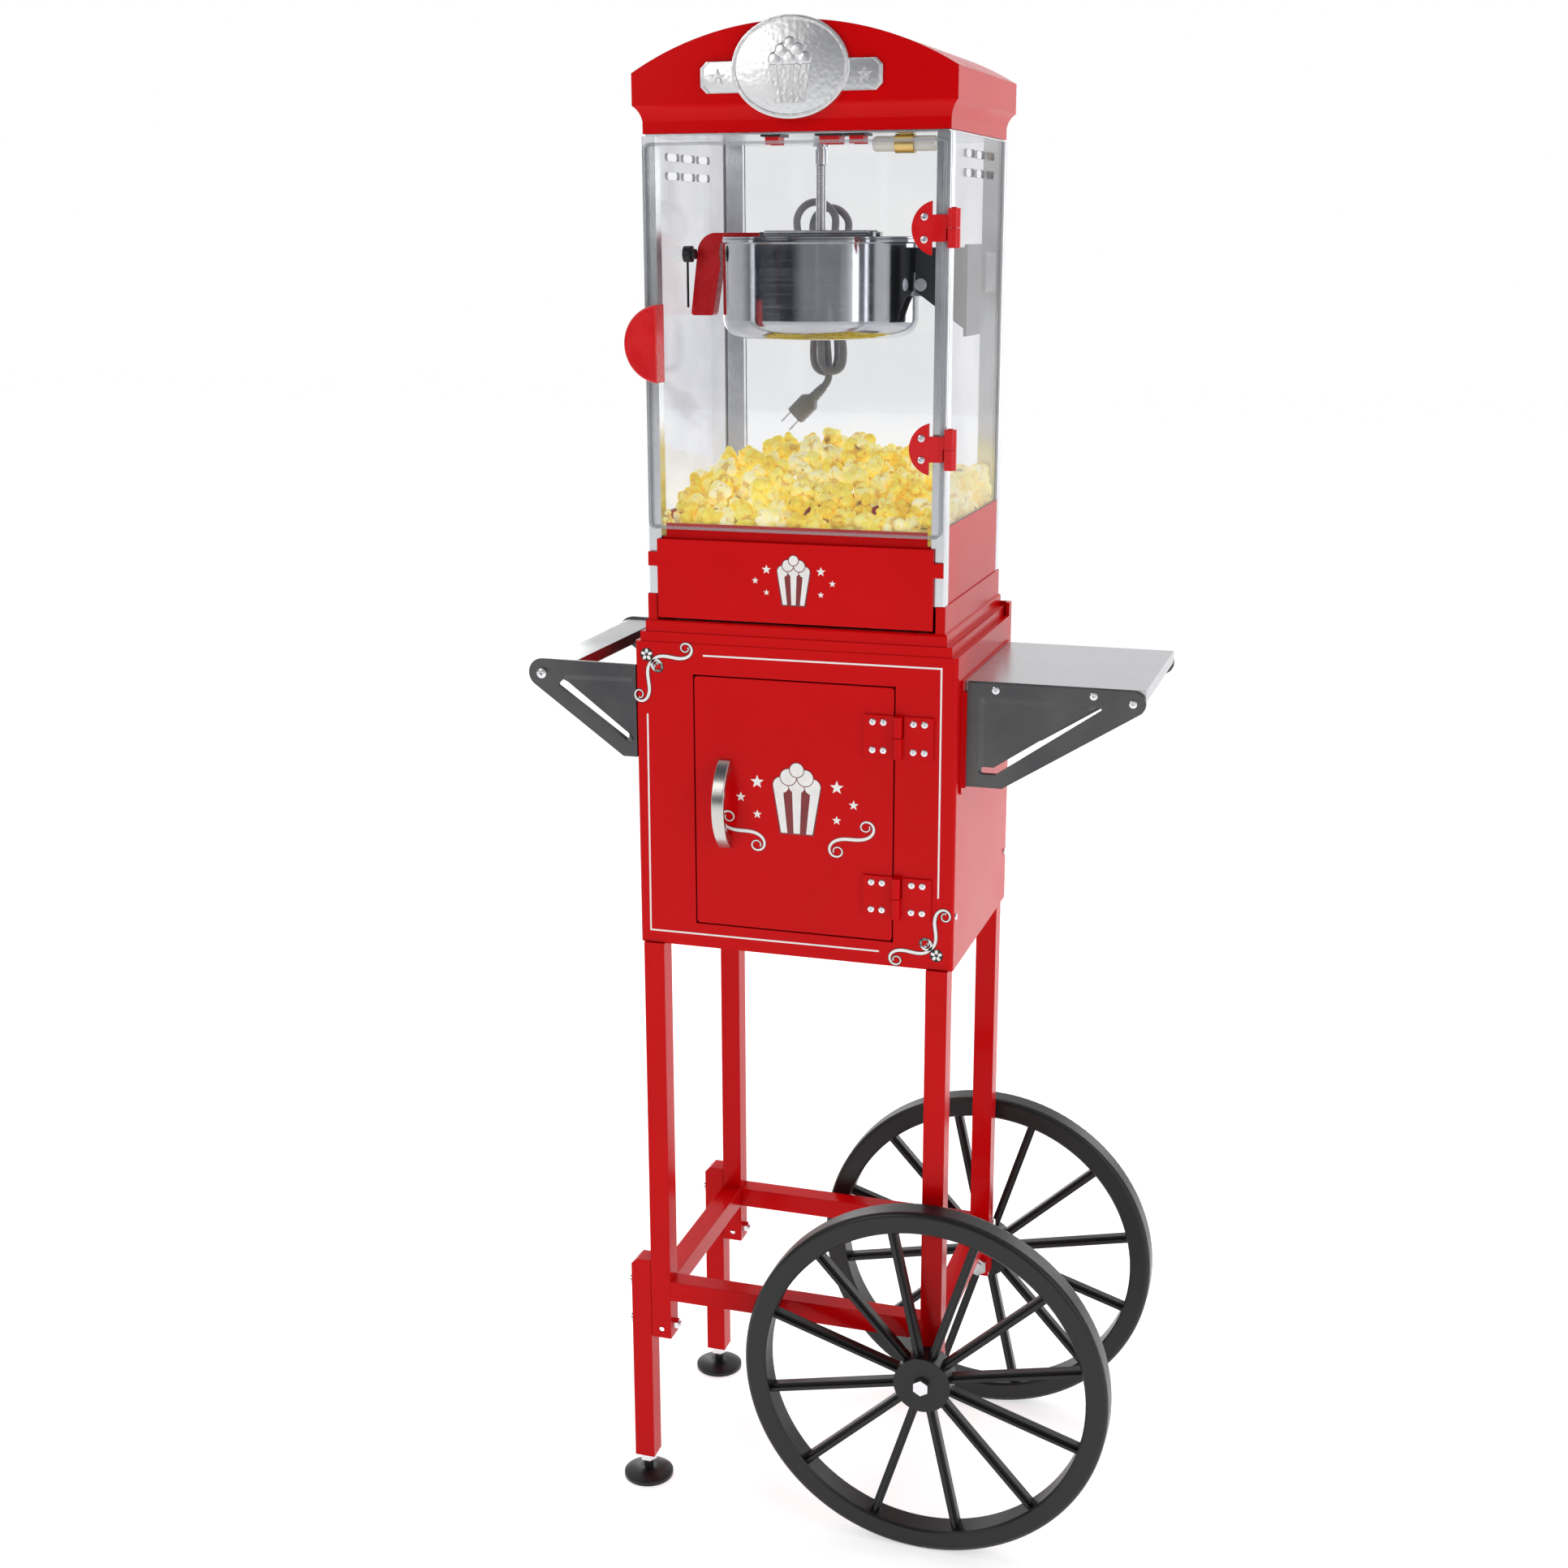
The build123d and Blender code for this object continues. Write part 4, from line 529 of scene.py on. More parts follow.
# ---- Mains cord -----------------------------------------------------------------------------
CORD_D = 0.008
CORD_X, GLAND_FACE_Y, GLAND_Z = -62.0, 266.0, 1466.0
LEAD_END_Y, HANK_TOP = 305.0, 1376.0
LEAD = [(CORD_X, GLAND_FACE_Y, GLAND_Z), (CORD_X, 279, 1466), (CORD_X, 291, 1461),
        (CORD_X, 300.2, 1451.8), (CORD_X, 305.2, 1439.8), (CORD_X, 306.2, 1425),
        (CORD_X, 305.9, 1410), (CORD_X, 305.3, 1395), (CORD_X, LEAD_END_Y, HANK_TOP + 2)]
HANK_X, HANK_MID_Y = -55.5, 296.5
REAR, MIDDLE, FRONT = 8.5, 0.0, -8.5            # the hank's three layers, in y from its middle
WAIST, WAIST_Y, WAIST_Z = 4.3, 7.6, 1285.0
PLUG_START, PLUG_AIM = (HANK_X - 1, HANK_MID_Y, 1178.0), Vector((-0.71, 0, -0.7042)).normalized()
TIE_HALF, TIE_HEIGHT = (9.1, 12.05), 7.0
BOOT_LENGTH = 30.0
BOOT_R, BOOT_TAPER, BOOT_RING, BOOT_PITCH = 0.0072, 0.0029, 0.0005, 0.0036


def fold(u0, u1, layer, apex_z):
    """Four points that turn a strand round from u0 to u1 with its outermost point at apex_z."""
    r = abs(u1 - u0) / 2
    up = 1 if apex_z > WAIST_Z else -1
    flat, high = 0.586 * r, 0.586 * r * up
    step = 1 if u1 > u0 else -1
    return [(u0, layer, apex_z - high), (u0 + step * flat, layer, apex_z),
            (u1 - step * flat, layer, apex_z), (u1, layer, apex_z - high)]


def waist(u, y, rising):
    """Two points that hold a strand straight under the tie."""
    ends = [(u, y, WAIST_Z + 12), (u, y, WAIST_Z - 12)]
    return ends[::-1] if rising else ends


def hank_points():
    """The hank's strands and folds, as distances from its middle line and a height."""
    left, right = -14.3, 13.2
    points = [(-6.5, REAR, 1350), (-5, 8.3, 1318)] + waist(-WAIST, WAIST_Y, False)
    points += [(-9, 8.3, 1250), (left, REAR, 1228)] + fold(left, right, REAR, 1194)
    points += [(right, REAR, 1228), (9, 8.3, 1250)] + waist(WAIST, WAIST_Y, True)
    points += [(7.5, 7, 1316), (11.5, -2, 1335), (15, -8, 1348)] + fold(15, -28, FRONT, 1372)
    points += [(-27.7, FRONT, 1342), (-17, -8.5, 1318)] + waist(-WAIST, -WAIST_Y, False)
    points += [(-2.5, -8.3, 1250), (-0.8, FRONT, 1228)] + fold(-0.8, 24.3, FRONT, 1196)
    points += [(24.3, FRONT, 1228), (15, -8.4, 1250)] + waist(WAIST, -WAIST_Y, True)
    points += [(14, -7.5, 1312), (23, -1, 1330), (27.2, MIDDLE, 1343)]
    points += fold(27.2, -12.7, MIDDLE, 1366)
    points += [(-12.7, MIDDLE, 1335), (-7.5, MIDDLE, 1315)] + waist(0, 0, False)
    points += [(2, MIDDLE, 1250), (3.2, MIDDLE, 1228), (4.8, MIDDLE, 1210), (6, MIDDLE, 1195)]
    return [(HANK_X + u, HANK_MID_Y + y, z) for u, y, z in points]


def cord_curve(points):
    """One NURBS spline with the route's points as its control points, in a round sheath."""
    data = bpy.data.curves.new("mains_cord", "CURVE")
    data.dimensions = "3D"
    spline = data.splines.new("NURBS")
    spline.points.add(len(points) - 1)
    for point, place in zip(spline.points, points):
        point.co = (*place, 1)
    spline.order_u = 3
    spline.use_endpoint_u = True
    spline.resolution_u = 8
    data.resolution_u = 8
    cord = bpy.data.objects.new("mains_cord", data)
    bpy.context.scene.collection.objects.link(cord)
    line = bpy.data.meshes.new_from_object(cord)
    path = [v.co.copy() for v in line.vertices]
    bpy.data.meshes.remove(line)
    data.bevel_depth = CORD_D / 2
    data.bevel_resolution = 6
    data.use_fill_caps = True
    data.materials.append(MATERIALS["cord_rubber"])
    return cord, path


def boot_along(path):
    """Tapered strain relief with moulded rings, from the gland along the cord's first stretch."""
    body, gone, rings = Mesh(), 0.0, []
    for here, there in zip(path, path[1:]):
        steps = max(1, ceil((there - here).length / 0.0009))
        for step in range(steps):
            place = here.lerp(there, step / steps)
            way = gone + (there - here).length * step / steps
            if way > BOOT_LENGTH * MM:
                break
            share = way / (BOOT_LENGTH * MM)
            radius = BOOT_R - BOOT_TAPER * share + BOOT_RING * cos(2 * pi * way / BOOT_PITCH)
            u, v = cross_axes((there - here).normalized())
            rings.append([place + (u * cos(a) + v * sin(a)) * radius
                          for a in np.linspace(0, 2 * pi, 24, endpoint=False)])
        gone += (there - here).length
        if gone > BOOT_LENGTH * MM:
            break
    body.rings(rings)
    return body.piece("cord_boot", "cord_rubber", "root", "cord_rubber")


def cord_tie():
    """Flat tie round the hank's waist."""
    half_u, half_y = TIE_HALF
    body = Mesh()
    loop = np.linspace(0, 2 * pi, 40, endpoint=False)
    levels = [(-1.0, 0.0), (-0.92, 0.35), (0.92, 0.35), (1.0, 0.0), (0.92, -0.35), (-0.92, -0.35),
              (-1.0, 0.0)]
    rings = []
    for level, out in levels:
        rings.append([at(HANK_X + (half_u + out) * np.sign(cos(a)) * abs(cos(a)) ** 0.7,
                         HANK_MID_Y + (half_y + out) * np.sign(sin(a)) * abs(sin(a)) ** 0.7,
                         WAIST_Z + level * TIE_HEIGHT / 2) for a in loop])
    body.rings(rings, False, False)
    return body.piece("cord_tie", "black_plastic", "root", "black_plastic")


def plug_section(distance, half_y, half_side, power):
    """One rounded cross-section of the plug's body, at a distance along its aim."""
    side = Vector((-PLUG_AIM.z, 0, PLUG_AIM.x))
    centre = at(*PLUG_START) + PLUG_AIM * distance * MM
    ring = []
    for a in np.linspace(0, 2 * pi, 36, endpoint=False):
        u = np.sign(cos(a)) * abs(cos(a)) ** (2 / power) * half_y
        v = np.sign(sin(a)) * abs(sin(a)) ** (2 / power) * half_side
        ring.append(centre + Vector((0, 1, 0)) * float(u) * MM + side * float(v) * MM)
    return ring


def plug_body():
    """Moulded plug: ribbed neck, shouldered body and grip ridges."""
    body = Mesh()
    sections = [(-0.5, 4.6, 4.6, 2.0)]
    for step in range(1, 33):
        way = step * 0.5
        swell = 0.35 * cos(2 * pi * way / 4)
        grow = way / 20
        sections.append((way, 4.8 + 1.7 * grow + swell, 4.8 + 1.2 * grow + swell, 2 + grow))
    sections += [(18, 7.2, 7.4, 3.2), (20, 7.8, 9.4, 3.6), (21.5, 8.0, 10.6, 4)]
    for step in range(10):
        way = 23 + step * 1.6
        sections.append((way, 8.0, 11.0 - 0.45 * (step % 2), 4.4))
    sections += [(42.4, 7.9, 10.8, 4.4), (43.6, 7.4, 10.3, 4.2), (44, 6.6, 9.4, 4)]
    body.rings([plug_section(*s) for s in sections])
    piece = body.piece("plug_body", "cord_rubber", "root", "cord_rubber")
    sharp_by_angle(piece, 50)
    return piece


def plug_blades():
    """Two flat blades with rounded tips and a hole near the end."""
    side = Vector((-PLUG_AIM.z, 0, PLUG_AIM.x))
    base, across = at(*PLUG_START) + PLUG_AIM * 43.5 * MM, Vector((0, 1, 0))
    length, half_w, half_t, hole_r, hole_at = 17.4, 3.2, 0.75, 1.4, 12.4
    bm = bmesh.new()
    for offset in (-6.35, 6.35):
        outline = [(0, -half_w), (length - 2.2, -half_w), (length - 0.7, -half_w + 0.7),
                   (length, -half_w + 2.2), (length, half_w - 2.2), (length - 0.7, half_w - 0.7),
                   (length - 2.2, half_w), (0, half_w)]
        count = 16
        hole = [(hole_at + hole_r * cos(a), hole_r * sin(a))
                for a in np.linspace(0, 2 * pi, count, endpoint=False)]
        rims = []
        for level in (-half_t, half_t):
            loops = []
            for loop in (outline, hole):
                loops.append([bm.verts.new(base + PLUG_AIM * a * MM + across * b * MM
                                           + side * (offset + level) * MM) for a, b in loop])
            edges = []
            for loop in loops:
                for i, vert in enumerate(loop):
                    edges.append(bm.edges.new((vert, loop[(i + 1) % len(loop)])))
            bmesh.ops.triangle_fill(bm, edges=edges, use_beauty=True)
            rims.append(loops)
        for low, high in zip(*rims):
            for i in range(len(low)):
                j = (i + 1) % len(low)
                bm.faces.new((low[i], low[j], high[j], high[i]))
    bmesh.ops.recalc_face_normals(bm, faces=bm.faces)
    bm.verts.index_update()
    points = [v.co.copy() for v in bm.verts]
    faces = [tuple(v.index for v in f.verts) for f in bm.faces]
    bm.free()
    return new_piece("plug_blades", points, faces, "zinc", "root", smooth=False)


def mains_cord():
    """The cord from its gland to its plug: a short free stretch and a tied hank."""
    start = at(*PLUG_START)
    route = [at(*p) for p in LEAD + hank_points()]
    route += [start - PLUG_AIM * 0.008, start]
    cord, path = cord_curve(route)
    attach(cord, "root")
    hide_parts("cord_lead", "cord_hank")
    boot, tie, body, blades = boot_along(path), cord_tie(), plug_body(), plug_blades()
    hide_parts("plug")


# ---- Popcorn --------------------------------------------------------------------------------
BIN_X, BIN_Y, BIN_Z = 133.0, (20.0, 230.0), 1062.0
REACH_X, REACH_Y, REACH_Z = 145.6, (9.0, 244.0), 1052.6      # as far as a kernel may go
KERNEL_R = (12.0, 16.5)
KERNEL_KINDS = 10
KERNEL_STEP, LAYER_STEP, LOOSE_KERNELS = 19.0, 15, 46


def heap_height(x, y):
    """Top of the popcorn: low at the front, highest a little left of the middle."""
    rise = min(max((y - 6) / 118, 0), 1)
    rise = rise * rise * (3 - 2 * rise)
    return 1076 + (27 + 24 * exp(-((x + 12) / 88) ** 2)) * rise


def kernel_kind(rng, directions):
    """Reach of one popped kernel in each direction, and how deep in a fold that point lies.

    The kernel is a bunch of overlapping balls, so its lobes meet in creases.
    """
    lobes = int(rng.integers(8, 12))
    aims = rng.normal(size=(lobes, 3))
    aims /= np.linalg.norm(aims, axis=1)[:, None]
    out, ball = rng.uniform(0.40, 0.62, lobes), rng.uniform(0.30, 0.46, lobes)
    along = directions @ (aims * out[:, None]).T
    inside = ball ** 2 - (out ** 2 - along ** 2)
    reach = np.where(inside > 0, along + np.sqrt(np.maximum(inside, 0)), 0.0)
    reach = np.concatenate([reach, np.full((len(directions), 1), 0.42)], axis=1)
    ranked = np.sort(reach, axis=1)
    top, second = ranked[:, -1], ranked[:, -2]
    # fold_share later drives the popcorn's painted shade: near 0 in the folds between lobes, and
    # low where the surface sinks towards the core.
    fold_share = np.clip((top - second) / 0.13, 0, 1)
    fold_share = fold_share * np.clip((top - 0.38) / 0.25, 0.15, 1)
    ripple = 0.018 * np.sin(directions @ rng.normal(size=3) * 9)
    ripple = ripple + 0.014 * np.sin(directions @ rng.normal(size=3) * 15)
    scale = top.max()
    return (top + ripple) / scale, fold_share


def spaced(low, high):
    """Even places from low to high, about a kernel's step apart."""
    return np.arange(low, high + 1, (high - low) / ceil((high - low) / KERNEL_STEP))


def kernel_places(rng):
    """Centres of the kernels: one layer over the heap, and walls of them behind the panes."""
    places = []
    xs = spaced(-BIN_X, BIN_X)
    for j, y in enumerate(spaced(*BIN_Y)):
        for x in xs + (KERNEL_STEP / 2 if j % 2 else 0):
            x = min(x, BIN_X)
            jitter = rng.uniform(-4.5, 4.5, 3)
            place = (x + jitter[0], y + jitter[1], heap_height(x, y) - 9 + jitter[2])
            places.append(place)
            at_wall = y < BIN_Y[0] + 5 or y > BIN_Y[1] - 5 or abs(x) > BIN_X - 8
            level = place[2] - LAYER_STEP
            while at_wall and level > BIN_Z - 2:
                shift = rng.uniform(-5, 5, 3)
                places.append((x + shift[0], y + shift[1] * 0.4, level + shift[2]))
                level -= LAYER_STEP
    for _ in range(LOOSE_KERNELS):
        x, y = rng.uniform(-112, 112), rng.uniform(40, 215)
        places.append((x, y, heap_height(x, y) + rng.uniform(1, 7)))
    return places


def popcorn():
    """A heap of separate popped kernels."""
    rng = np.random.default_rng(41)
    seed = bmesh.new()
    bmesh.ops.create_icosphere(seed, subdivisions=3, radius=1)
    seed.verts.index_update()
    unit = np.array([v.co[:] for v in seed.verts])
    unit /= np.linalg.norm(unit, axis=1)[:, None]
    unit_faces = np.array([[v.index for v in f.verts] for f in seed.faces])
    seed.free()
    kinds = [kernel_kind(rng, unit) for _ in range(KERNEL_KINDS)]
    points, faces, facts = [], [], []
    origin = np.array(LAYOUT_ORIGIN)
    for number, place in enumerate(kernel_places(rng)):
        reach, crease = kinds[int(rng.integers(KERNEL_KINDS))]
        size = rng.uniform(*KERNEL_R) * rng.uniform((0.85, 0.85, 0.7), (1.1, 1.1, 1.0))
        turn, _ = np.linalg.qr(rng.normal(size=(3, 3)))
        local = (unit * reach[:, None] * size) @ turn.T
        world = local + np.array(place)
        world[:, 0] = np.clip(world[:, 0], -REACH_X, REACH_X)
        world[:, 1] = np.clip(world[:, 1], *REACH_Y)
        world[:, 2] = np.maximum(world[:, 2], REACH_Z)
        tint = rng.uniform(0.0, 0.95)
        hull_aim = rng.normal(size=3)
        hull_aim /= np.linalg.norm(hull_aim)
        hull = np.clip((unit @ hull_aim - 0.86) / 0.1, 0, 1) * (1 - crease) * (rng.random() < 0.6)
        # The kernel attribute holds the fold measure for the painted fold shade, the butter tint
        # and the hull spots.
        facts.append(np.stack([crease, np.full(len(unit), tint), hull, np.ones(len(unit))], axis=1))
        points.append(origin + world * MM)
        faces.append(unit_faces + number * len(unit))
    points, faces, facts = np.concatenate(points), np.concatenate(faces), np.concatenate(facts)
    heap = new_piece("popcorn_heap", points, faces.tolist(), "popcorn", "root")
    shade = heap.data.color_attributes.new("kernel", "FLOAT_COLOR", "POINT")
    shade.data.foreach_set("color", facts.astype(np.float32).ravel())
    return heap


# ---- Screws ---------------------------------------------------------------------------------
def islands(node):
    """The separate solids of a CAD node, each as an array of its points."""
    bm = bmesh.new()
    bm.from_mesh(NODES[node].data)
    bmesh.ops.remove_doubles(bm, verts=bm.verts, dist=1e-6)
    left, found = set(bm.verts), []
    while left:
        queue, group = [left.pop()], []
        while queue:
            vert = queue.pop()
            group.append(vert.co[:])
            for edge in vert.link_edges:
                other = edge.other_vert(vert)
                if other in left:
                    left.remove(other)
                    queue.append(other)
        found.append(np.array(group))
    bm.free()
    return found


def screw_facts(points):
    """Foot, direction, radius and height of a screw's head, from the solid's own points."""
    low, high = points.min(0), points.max(0)
    centre, size = (low + high) / 2, high - low
    spans = [abs(size[(k + 1) % 3] - size[(k + 2) % 3]) for k in range(3)]
    axis = int(np.argmin(spans))
    others = [k for k in range(3) if k != axis]
    away = np.hypot(*(points[:, others] - centre[others]).T)
    head = points[away > away.max() - 1e-4]
    sign = 1 if head[:, axis].mean() > centre[axis] else -1
    ends = (head[:, axis].min(), head[:, axis].max())
    foot = centre.copy()
    foot[axis] = ends[0] if sign > 0 else ends[1]
    direction = Vector((0, 0, 0))
    direction[axis] = sign
    return Vector(foot), direction, float(away.max()), float(ends[1] - ends[0])


def screw_head(body, foot, direction, radius, height, turn, socket):
    """A domed head with a hexagon socket or a cross recess sunk in its top."""
    u, v = cross_axes(direction)
    count = 48

    def recess(angle, size):
        if socket:
            corner = (angle - turn) % (pi / 3) - pi / 6
            return size * cos(pi / 6) / cos(corner)
        arm = abs(cos(2 * (angle - turn))) ** 10
        return size * (0.36 + 0.64 * arm)

    def ring(reach, level):
        return [foot + (u * cos(a) + v * sin(a)) * reach(a) + direction * level
                for a in np.linspace(0, 2 * pi, count, endpoint=False)]

    dome_shape = ((0.97, 0.0), (1.0, 0.1), (1.0, 0.45), (0.93, 0.78), (0.78, 0.94), (0.62, 1.0))
    rings = [ring(lambda a, r=radius * r: r, height * h) for r, h in dome_shape]
    size = radius * (0.46 if socket else 0.52)
    rings.append(ring(lambda a: recess(a, size), height))
    rings.append(ring(lambda a: recess(a, size * 0.94), height * 0.92))
    rings.append(ring(lambda a: recess(a, size * (0.9 if socket else 0.6)), height * 0.35))
    body.rings(rings)


def screws(node, name, body_name, slot="zinc", socket=False):
    """Detailed heads in place of a CAD node of plain screws."""
    body = Mesh()
    rng = np.random.default_rng(len(node))
    for points in sorted(islands(node), key=lambda p: tuple(np.round(p.mean(0), 5))):
        foot, direction, radius, height = screw_facts(points)
        screw_head(body, foot, direction, radius, height, rng.uniform(0, pi), socket)
    piece = body.piece(name, "zinc", body_name, slot)
    sharp_by_angle(piece, 32)
    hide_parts(node)
    return piece


# ---- Painted trim ---------------------------------------------------------------------------
PAINT = 0.25                                    # height of the trim over the enamel, in mm
LINE = 1.7


def ribbon(body, path, width, y, thick=PAINT):
    """A flat painted line over a path of x and z.

    width is a number or a function of the share run.
    """
    count = len(path)
    rings = []
    for i, (x, z) in enumerate(path):
        back, ahead = path[max(i - 1, 0)], path[min(i + 1, count - 1)]
        dx1, dz1 = x - back[0], z - back[1]
        dx2, dz2 = ahead[0] - x, ahead[1] - z
        l1, l2 = hypot(dx1, dz1) or 1, hypot(dx2, dz2) or 1
        tx, tz = dx1 / l1 + dx2 / l2, dz1 / l1 + dz2 / l2
        length = hypot(tx, tz)
        tx, tz = tx / length, tz / length
        ends = i in (0, count - 1)
        mitre = 1.0 if ends else min(2.0, 2.0 / max(length, 0.6))
        wide = width(i / (count - 1)) if callable(width) else width
        half = wide / 2 * mitre
        nx, nz = -tz * half, tx * half
        rings.append([at(x + nx, y, z + nz), at(x + nx, y - thick, z + nz),
                      at(x - nx, y - thick, z - nz), at(x - nx, y, z - nz)])
    body.rings(rings)


def plate(body, outline, y, thick=PAINT):
    """A flat painted shape with an outline of x and z points."""
    body.rings([[at(x, y, z) for x, z in outline], [at(x, y - thick, z) for x, z in outline]])


def circle(x, z, radius, count=40, squash=1.0):
    return [(x + radius * cos(a), z + radius * squash * sin(a))
            for a in np.linspace(0, 2 * pi, count, endpoint=False)]


def swelling(ends, more):
    """A ribbon's width: as wide as ends at both ends, and wider by more in the middle."""
    return lambda share: ends + more * sin(pi * share) ** 2


def double_scroll(middle, span, angle, flip):
    """An S-shaped line that winds up at both ends, on a path of steadily changing curvature."""
    steps, reach, wind = 150, 2.5, pi * 0.86
    half = []
    x = z = 0.0
    for i in range(steps):
        s = reach * i / steps
        x += cos(wind * s * s / 2) * reach / steps
        z += sin(wind * s * s / 2) * reach / steps
        half.append((x, z))
    path = [(-a, -b) for a, b in reversed(half)] + [(0.0, 0.0)] + half
    xs = [p[0] for p in path]
    scale = span / (max(xs) - min(xs))
    turned = []
    for a, b in path[::2]:
        a, b = a * scale, b * scale * 0.92 * flip
        turned.append((middle[0] + a * cos(angle) - b * sin(angle),
                       middle[1] + a * sin(angle) + b * cos(angle)))
    return turned


def rosette(body, x, z, radius, y):
    """A small flower of five petals."""
    for k in range(5):
        angle = pi / 2 + k * 2 * pi / 5
        petal = []
        for a in np.linspace(0, 2 * pi, 20, endpoint=False):
            along, across = radius * (0.62 + 0.38 * cos(a)), radius * 0.27 * sin(a)
            petal.append((x + along * cos(angle) - across * sin(angle),
                          z + along * sin(angle) + across * cos(angle)))
        plate(body, petal, y)


def corner_ornament(white, dark, corner, turn):
    """Two scrolls and a flower in a corner; turn is 1 at the top left, -1 at the bottom right."""
    cx, cz = corner
    scrolls = (((cx + turn * 31, cz - turn * 6), 40.0, radians(-8), 1),
               ((cx + turn * 6, cz - turn * 31), 40.0, radians(98), -1))
    for middle, span, angle, flip in scrolls:
        path = double_scroll(middle, span, angle, flip)
        ribbon(dark, path, swelling(2.2, 2.3), 0.0, PAINT)
        ribbon(white, path, swelling(0.9, 2.3), -PAINT, PAINT * 0.6)
        ribbon(white, [path[0], path[1]], 2.6, -PAINT, PAINT * 0.6)
        ribbon(white, [path[-1], path[-2]], 2.6, -PAINT, PAINT * 0.6)
    plate(dark, circle(cx + turn * 4.5, cz - turn * 4.5, 6.6), 0.0)
    rosette(white, cx + turn * 4.5, cz - turn * 4.5, 6.0, -PAINT)


def trim():
    """White pinstripes and corner scrolls on the cabinet's front."""
    white, dark = Mesh(), Mesh()
    stripes = ([(-93, 935.5), (149, 936.2), (149.4, 706)],
               [(-152.7, 873), (-153.6, 644.5), (89.7, 645.3)])
    for stripe in stripes:
        ribbon(white, stripe, LINE, 0.0)
    corner_ornament(white, dark, (-157, 938), 1)
    corner_ornament(white, dark, (153, 642), -1)
    white.piece("trim_white", "white_paint", "root", "badge", smooth=False)
    dark.piece("trim_outline", "black_plastic", "root", "black_plastic", smooth=False)


# ---- Badges ---------------------------------------------------------------------------------
CARTON_STRIPES = 5


def star(x, z, radius):
    """Outline of a five-pointed star."""
    reach = (radius, radius * 0.42)
    angles = [pi / 2 + k * pi / 5 for k in range(10)]
    return [(x + reach[k % 2] * cos(a), z + reach[k % 2] * sin(a)) for k, a in enumerate(angles)]


def puff_places(width):
    """Middles and radii of the popped corn above a carton of a given width."""
    unit = width / 44
    places = [(-15, 3, 7.5), (0, 4, 8), (15, 3, 7.5), (-8, 11, 7.5), (8, 11, 7.5), (0, 18, 6.5)]
    return [(x * unit, z * unit, r * unit) for x, z, r in places]


def carton_stripe(x, z, half_top, half_low, height, number):
    """Outline of one stripe of a carton that narrows downwards from its rim at z."""
    a, b = number / CARTON_STRIPES, (number + 1) / CARTON_STRIPES
    return [(x - half_top + 2 * half_top * a, z), (x - half_top + 2 * half_top * b, z),
            (x - half_low + 2 * half_low * b, z - height),
            (x - half_low + 2 * half_low * a, z - height)]


def printed_carton(white, dark, x, z, width, y=0.0):
    """A striped carton of popcorn in flat paint; z is its rim and width its top width."""
    height = width * 0.95
    half_top, half_low = width / 2, width * 0.34
    plate(dark, [(x - half_top - 1.4, z + 1.4), (x + half_top + 1.4, z + 1.4),
                 (x + half_low + 1.4, z - height - 1.4), (x - half_low - 1.4, z - height - 1.4)], y)
    for n in range(0, CARTON_STRIPES, 2):
        plate(white, carton_stripe(x, z, half_top, half_low, height, n), y - PAINT)
    for layer, (dx, dz, r) in enumerate(puff_places(width)):
        lift = y - PAINT * (1.1 + 0.12 * layer)
        plate(dark, circle(x + dx, z + dz, r + 0.9, 28), y, PAINT * (1.1 + 0.12 * layer))
        plate(white, circle(x + dx, z + dz, r, 28), lift, PAINT * 0.1)


def badge(name, body_name, x, z, width, scrolls):
    """A painted badge: carton in the middle, with stars and, if wanted, scrolls at its sides."""
    white, dark = Mesh(), Mesh()
    printed_carton(white, dark, x, z, width)
    for side in (-1, 1):
        for reach, lift, size in ((0.86, 0.1, 0.15), (1.22, -0.25, 0.11), (0.86, -0.6, 0.10)):
            plate(white, star(x + side * width * reach, z + width * lift, width * size), 0.0)
        if scrolls:
            middle = (x + side * width * 1.18, z - width * 0.98)
            path = double_scroll(middle, width * 0.95, 0.0, side)
            ribbon(dark, path, swelling(2.2, 2.4), 0.0)
            ribbon(white, path, swelling(0.9, 2.3), -PAINT, PAINT * 0.6)
    white.piece(name + "_white", "white_paint", body_name, "badge", smooth=False)
    dark.piece(name + "_outline", "red_ink", body_name, "red_steel", smooth=False)


PLAQUE_FACE, PLAQUE_Z, PLAQUE_BAR_Z = -2.0, 1485.5, 1478.0
OVAL_R, OVAL_SQUASH = 56, 45 / 56
BAR_T, OVAL_T = 3.0, 5.0


def shrunk(outline, inset):
    """An outline of x and z points, drawn in towards its middle."""
    n = len(outline)
    cx, cz = sum(p[0] for p in outline) / n, sum(p[1] for p in outline) / n
    wanted = []
    for x, z in outline:
        reach = hypot(x - cx, z - cz)
        share = (reach - inset) / reach
        wanted.append((cx + (x - cx) * share, cz + (z - cz) * share))
    return wanted


def stepped(body, outline, steps, closed):
    """Rings that follow an outline, each at a height over the canopy's face and an inset."""
    rings = [[at(x, PLAQUE_FACE - level, z) for x, z in shrunk(outline, inset)]
             for level, inset in steps]
    body.rings(rings, closed, closed)


def bevelled(body, outline, depth, edge=0.8):
    """A plate with a rounded rim, standing on the canopy's front face."""
    stepped(body, outline, ((0.0, 0.0), (depth - edge, 0.0), (depth - edge * 0.3, edge * 0.3),
                            (depth, edge)), True)


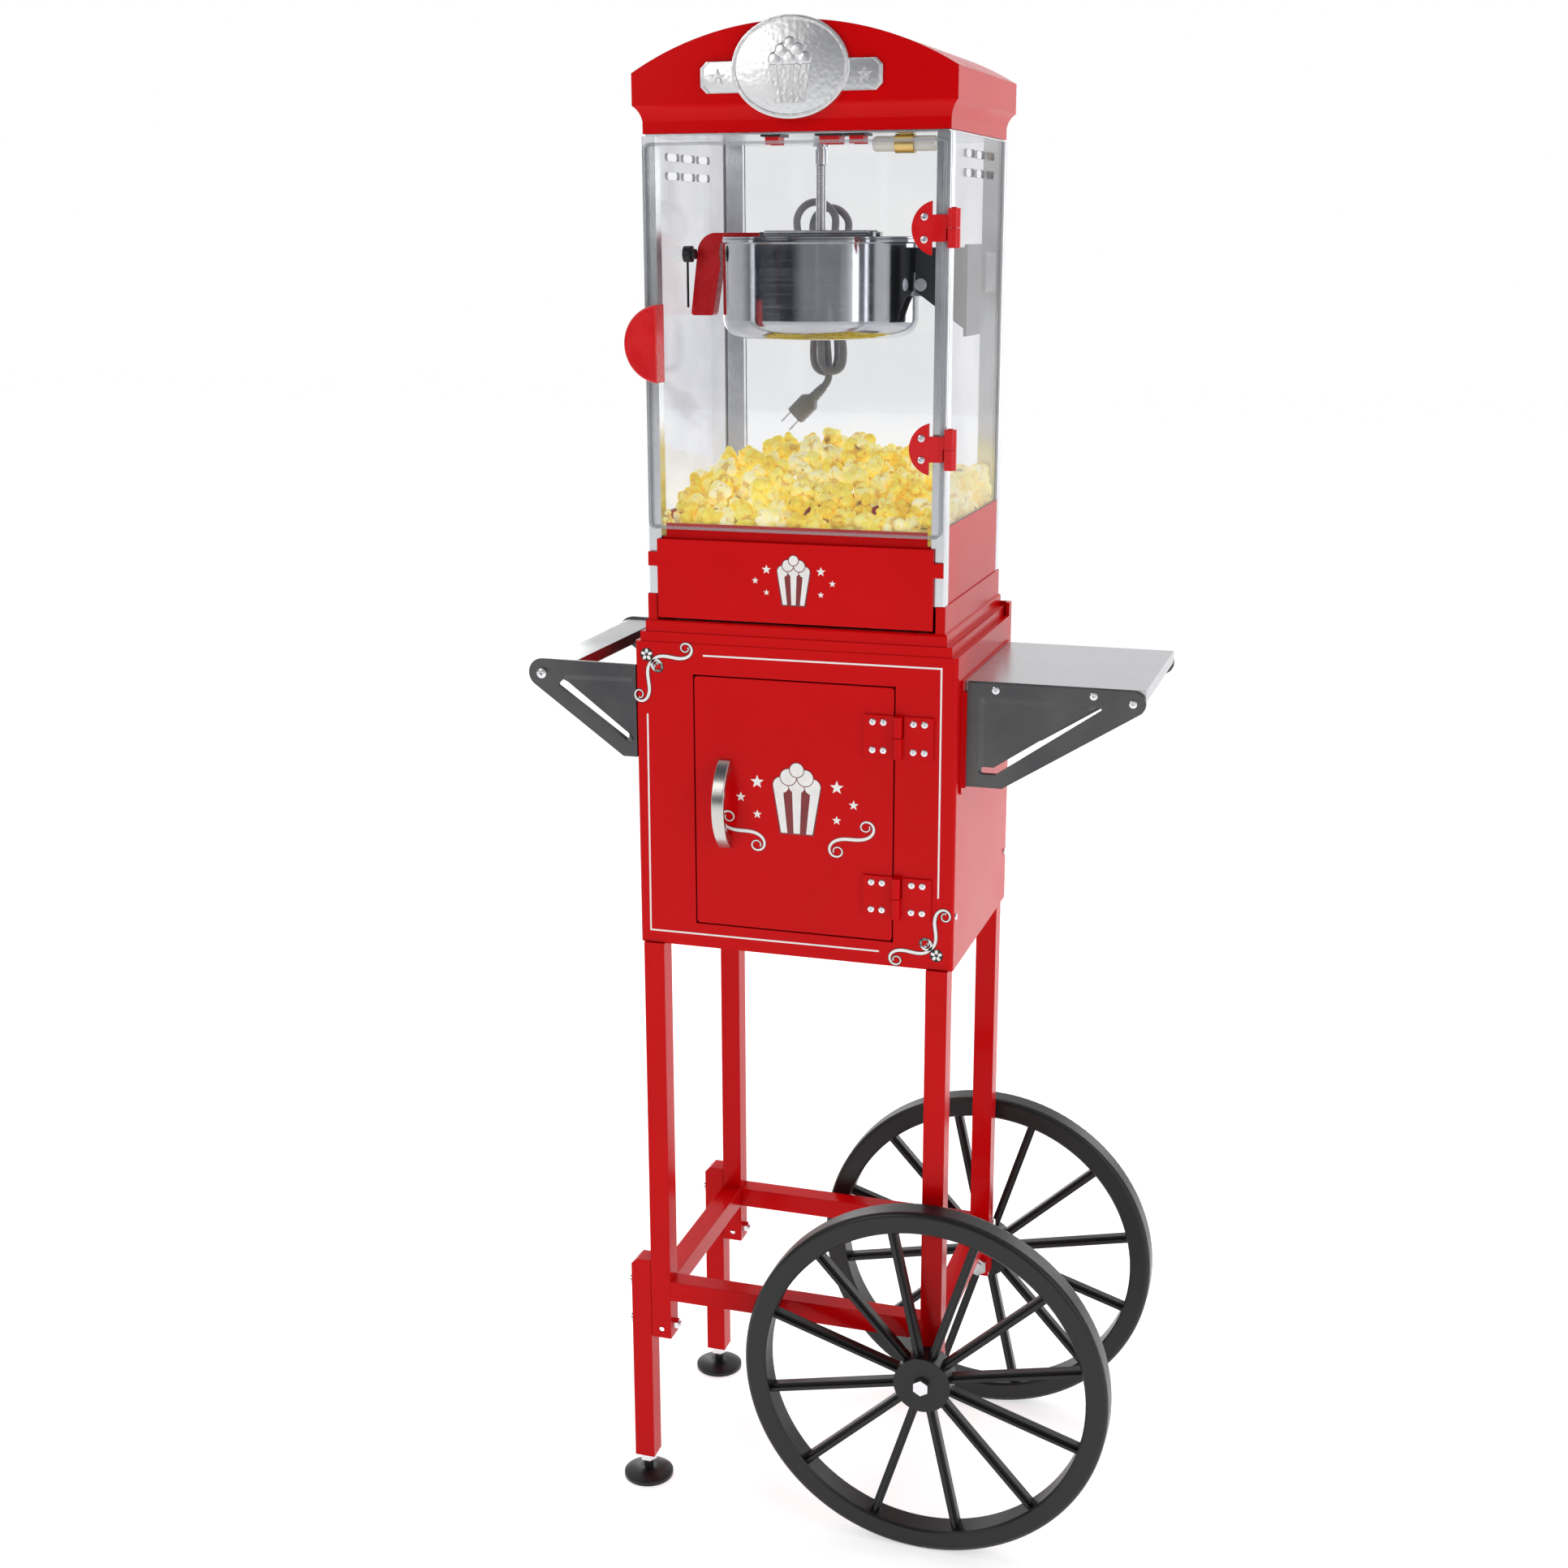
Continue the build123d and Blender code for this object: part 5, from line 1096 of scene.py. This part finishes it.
def rim(body, outline, level, width, height):
    """A raised border just inside an outline."""
    start = 1.5
    stepped(body, outline, ((level, start), (level + height, start + 0.3),
                            (level + height, start + width - 0.3), (level, start + width)), False)


def dome(body, x, z, radius, level, height):
    """A rounded boss that stands on the plaque."""
    rings = []
    for k in range(6):
        a = k / 6 * pi / 2
        rings.append([at(px, PLAQUE_FACE - level - height * sin(a), pz)
                      for px, pz in circle(x, z, radius * cos(a), 28)])
    body.rings(rings)


def plaque():
    """The canopy's badge: an oval over a bar, with a carton in relief and a star at each end."""
    body = Mesh()
    bar = [(-81, 1464), (81, 1464), (87, 1470), (87, 1486), (81, 1492), (-81, 1492), (-87, 1486),
           (-87, 1470)]
    oval = circle(0, PLAQUE_Z, OVAL_R, 96, OVAL_SQUASH)
    bevelled(body, bar, BAR_T)
    bevelled(body, oval, OVAL_T)
    rim(body, bar, BAR_T, 2.2, 0.8)
    rim(body, oval, OVAL_T, 2.6, 1.0)
    for side in (-1, 1):
        plate(body, star(side * 70, PLAQUE_BAR_Z, 7.5), PLAQUE_FACE - BAR_T, 1.2)
    half_top, half_low, height, brim = 20.0, 13.5, 33.0, PLAQUE_Z + 2
    for raised, numbers in ((1.6, (0, 2, 4)), (0.7, (1, 3))):
        for n in numbers:
            stripe = carton_stripe(0.0, brim, half_top, half_low, height, n)
            plate(body, stripe, PLAQUE_FACE - OVAL_T, raised)
    for dx, dz, r in puff_places(2 * half_top):
        dome(body, dx, brim + 2 + dz, r, OVAL_T, 1.6)
    piece = body.piece("plaque_badge", "badge", "root", "badge")
    sharp_by_angle(piece, 30)
    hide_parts("plaque")


# ---- Build ----------------------------------------------------------------------------------
def main():
    camera()
    lights()
    studio()
    floor()
    dress_cad()
    mains_cord()
    popcorn()
    screws("cabinet_door_screws", "door_leaf_screws", "cabinet_door")
    screws("door_hinge_screws", "glass_hinge_screws", "glass_door", socket=True)
    screws("case_screws", "case_screw_heads", "root")
    trim()
    badge("door_badge", "cabinet_door", 4.0, 806.0, 48.0, True)
    badge("panel_badge", "drop_panel", 1.0, 1021.0, 32.0, False)
    plaque()
    bpy.context.scene.view_settings.view_transform = "Standard"


main()
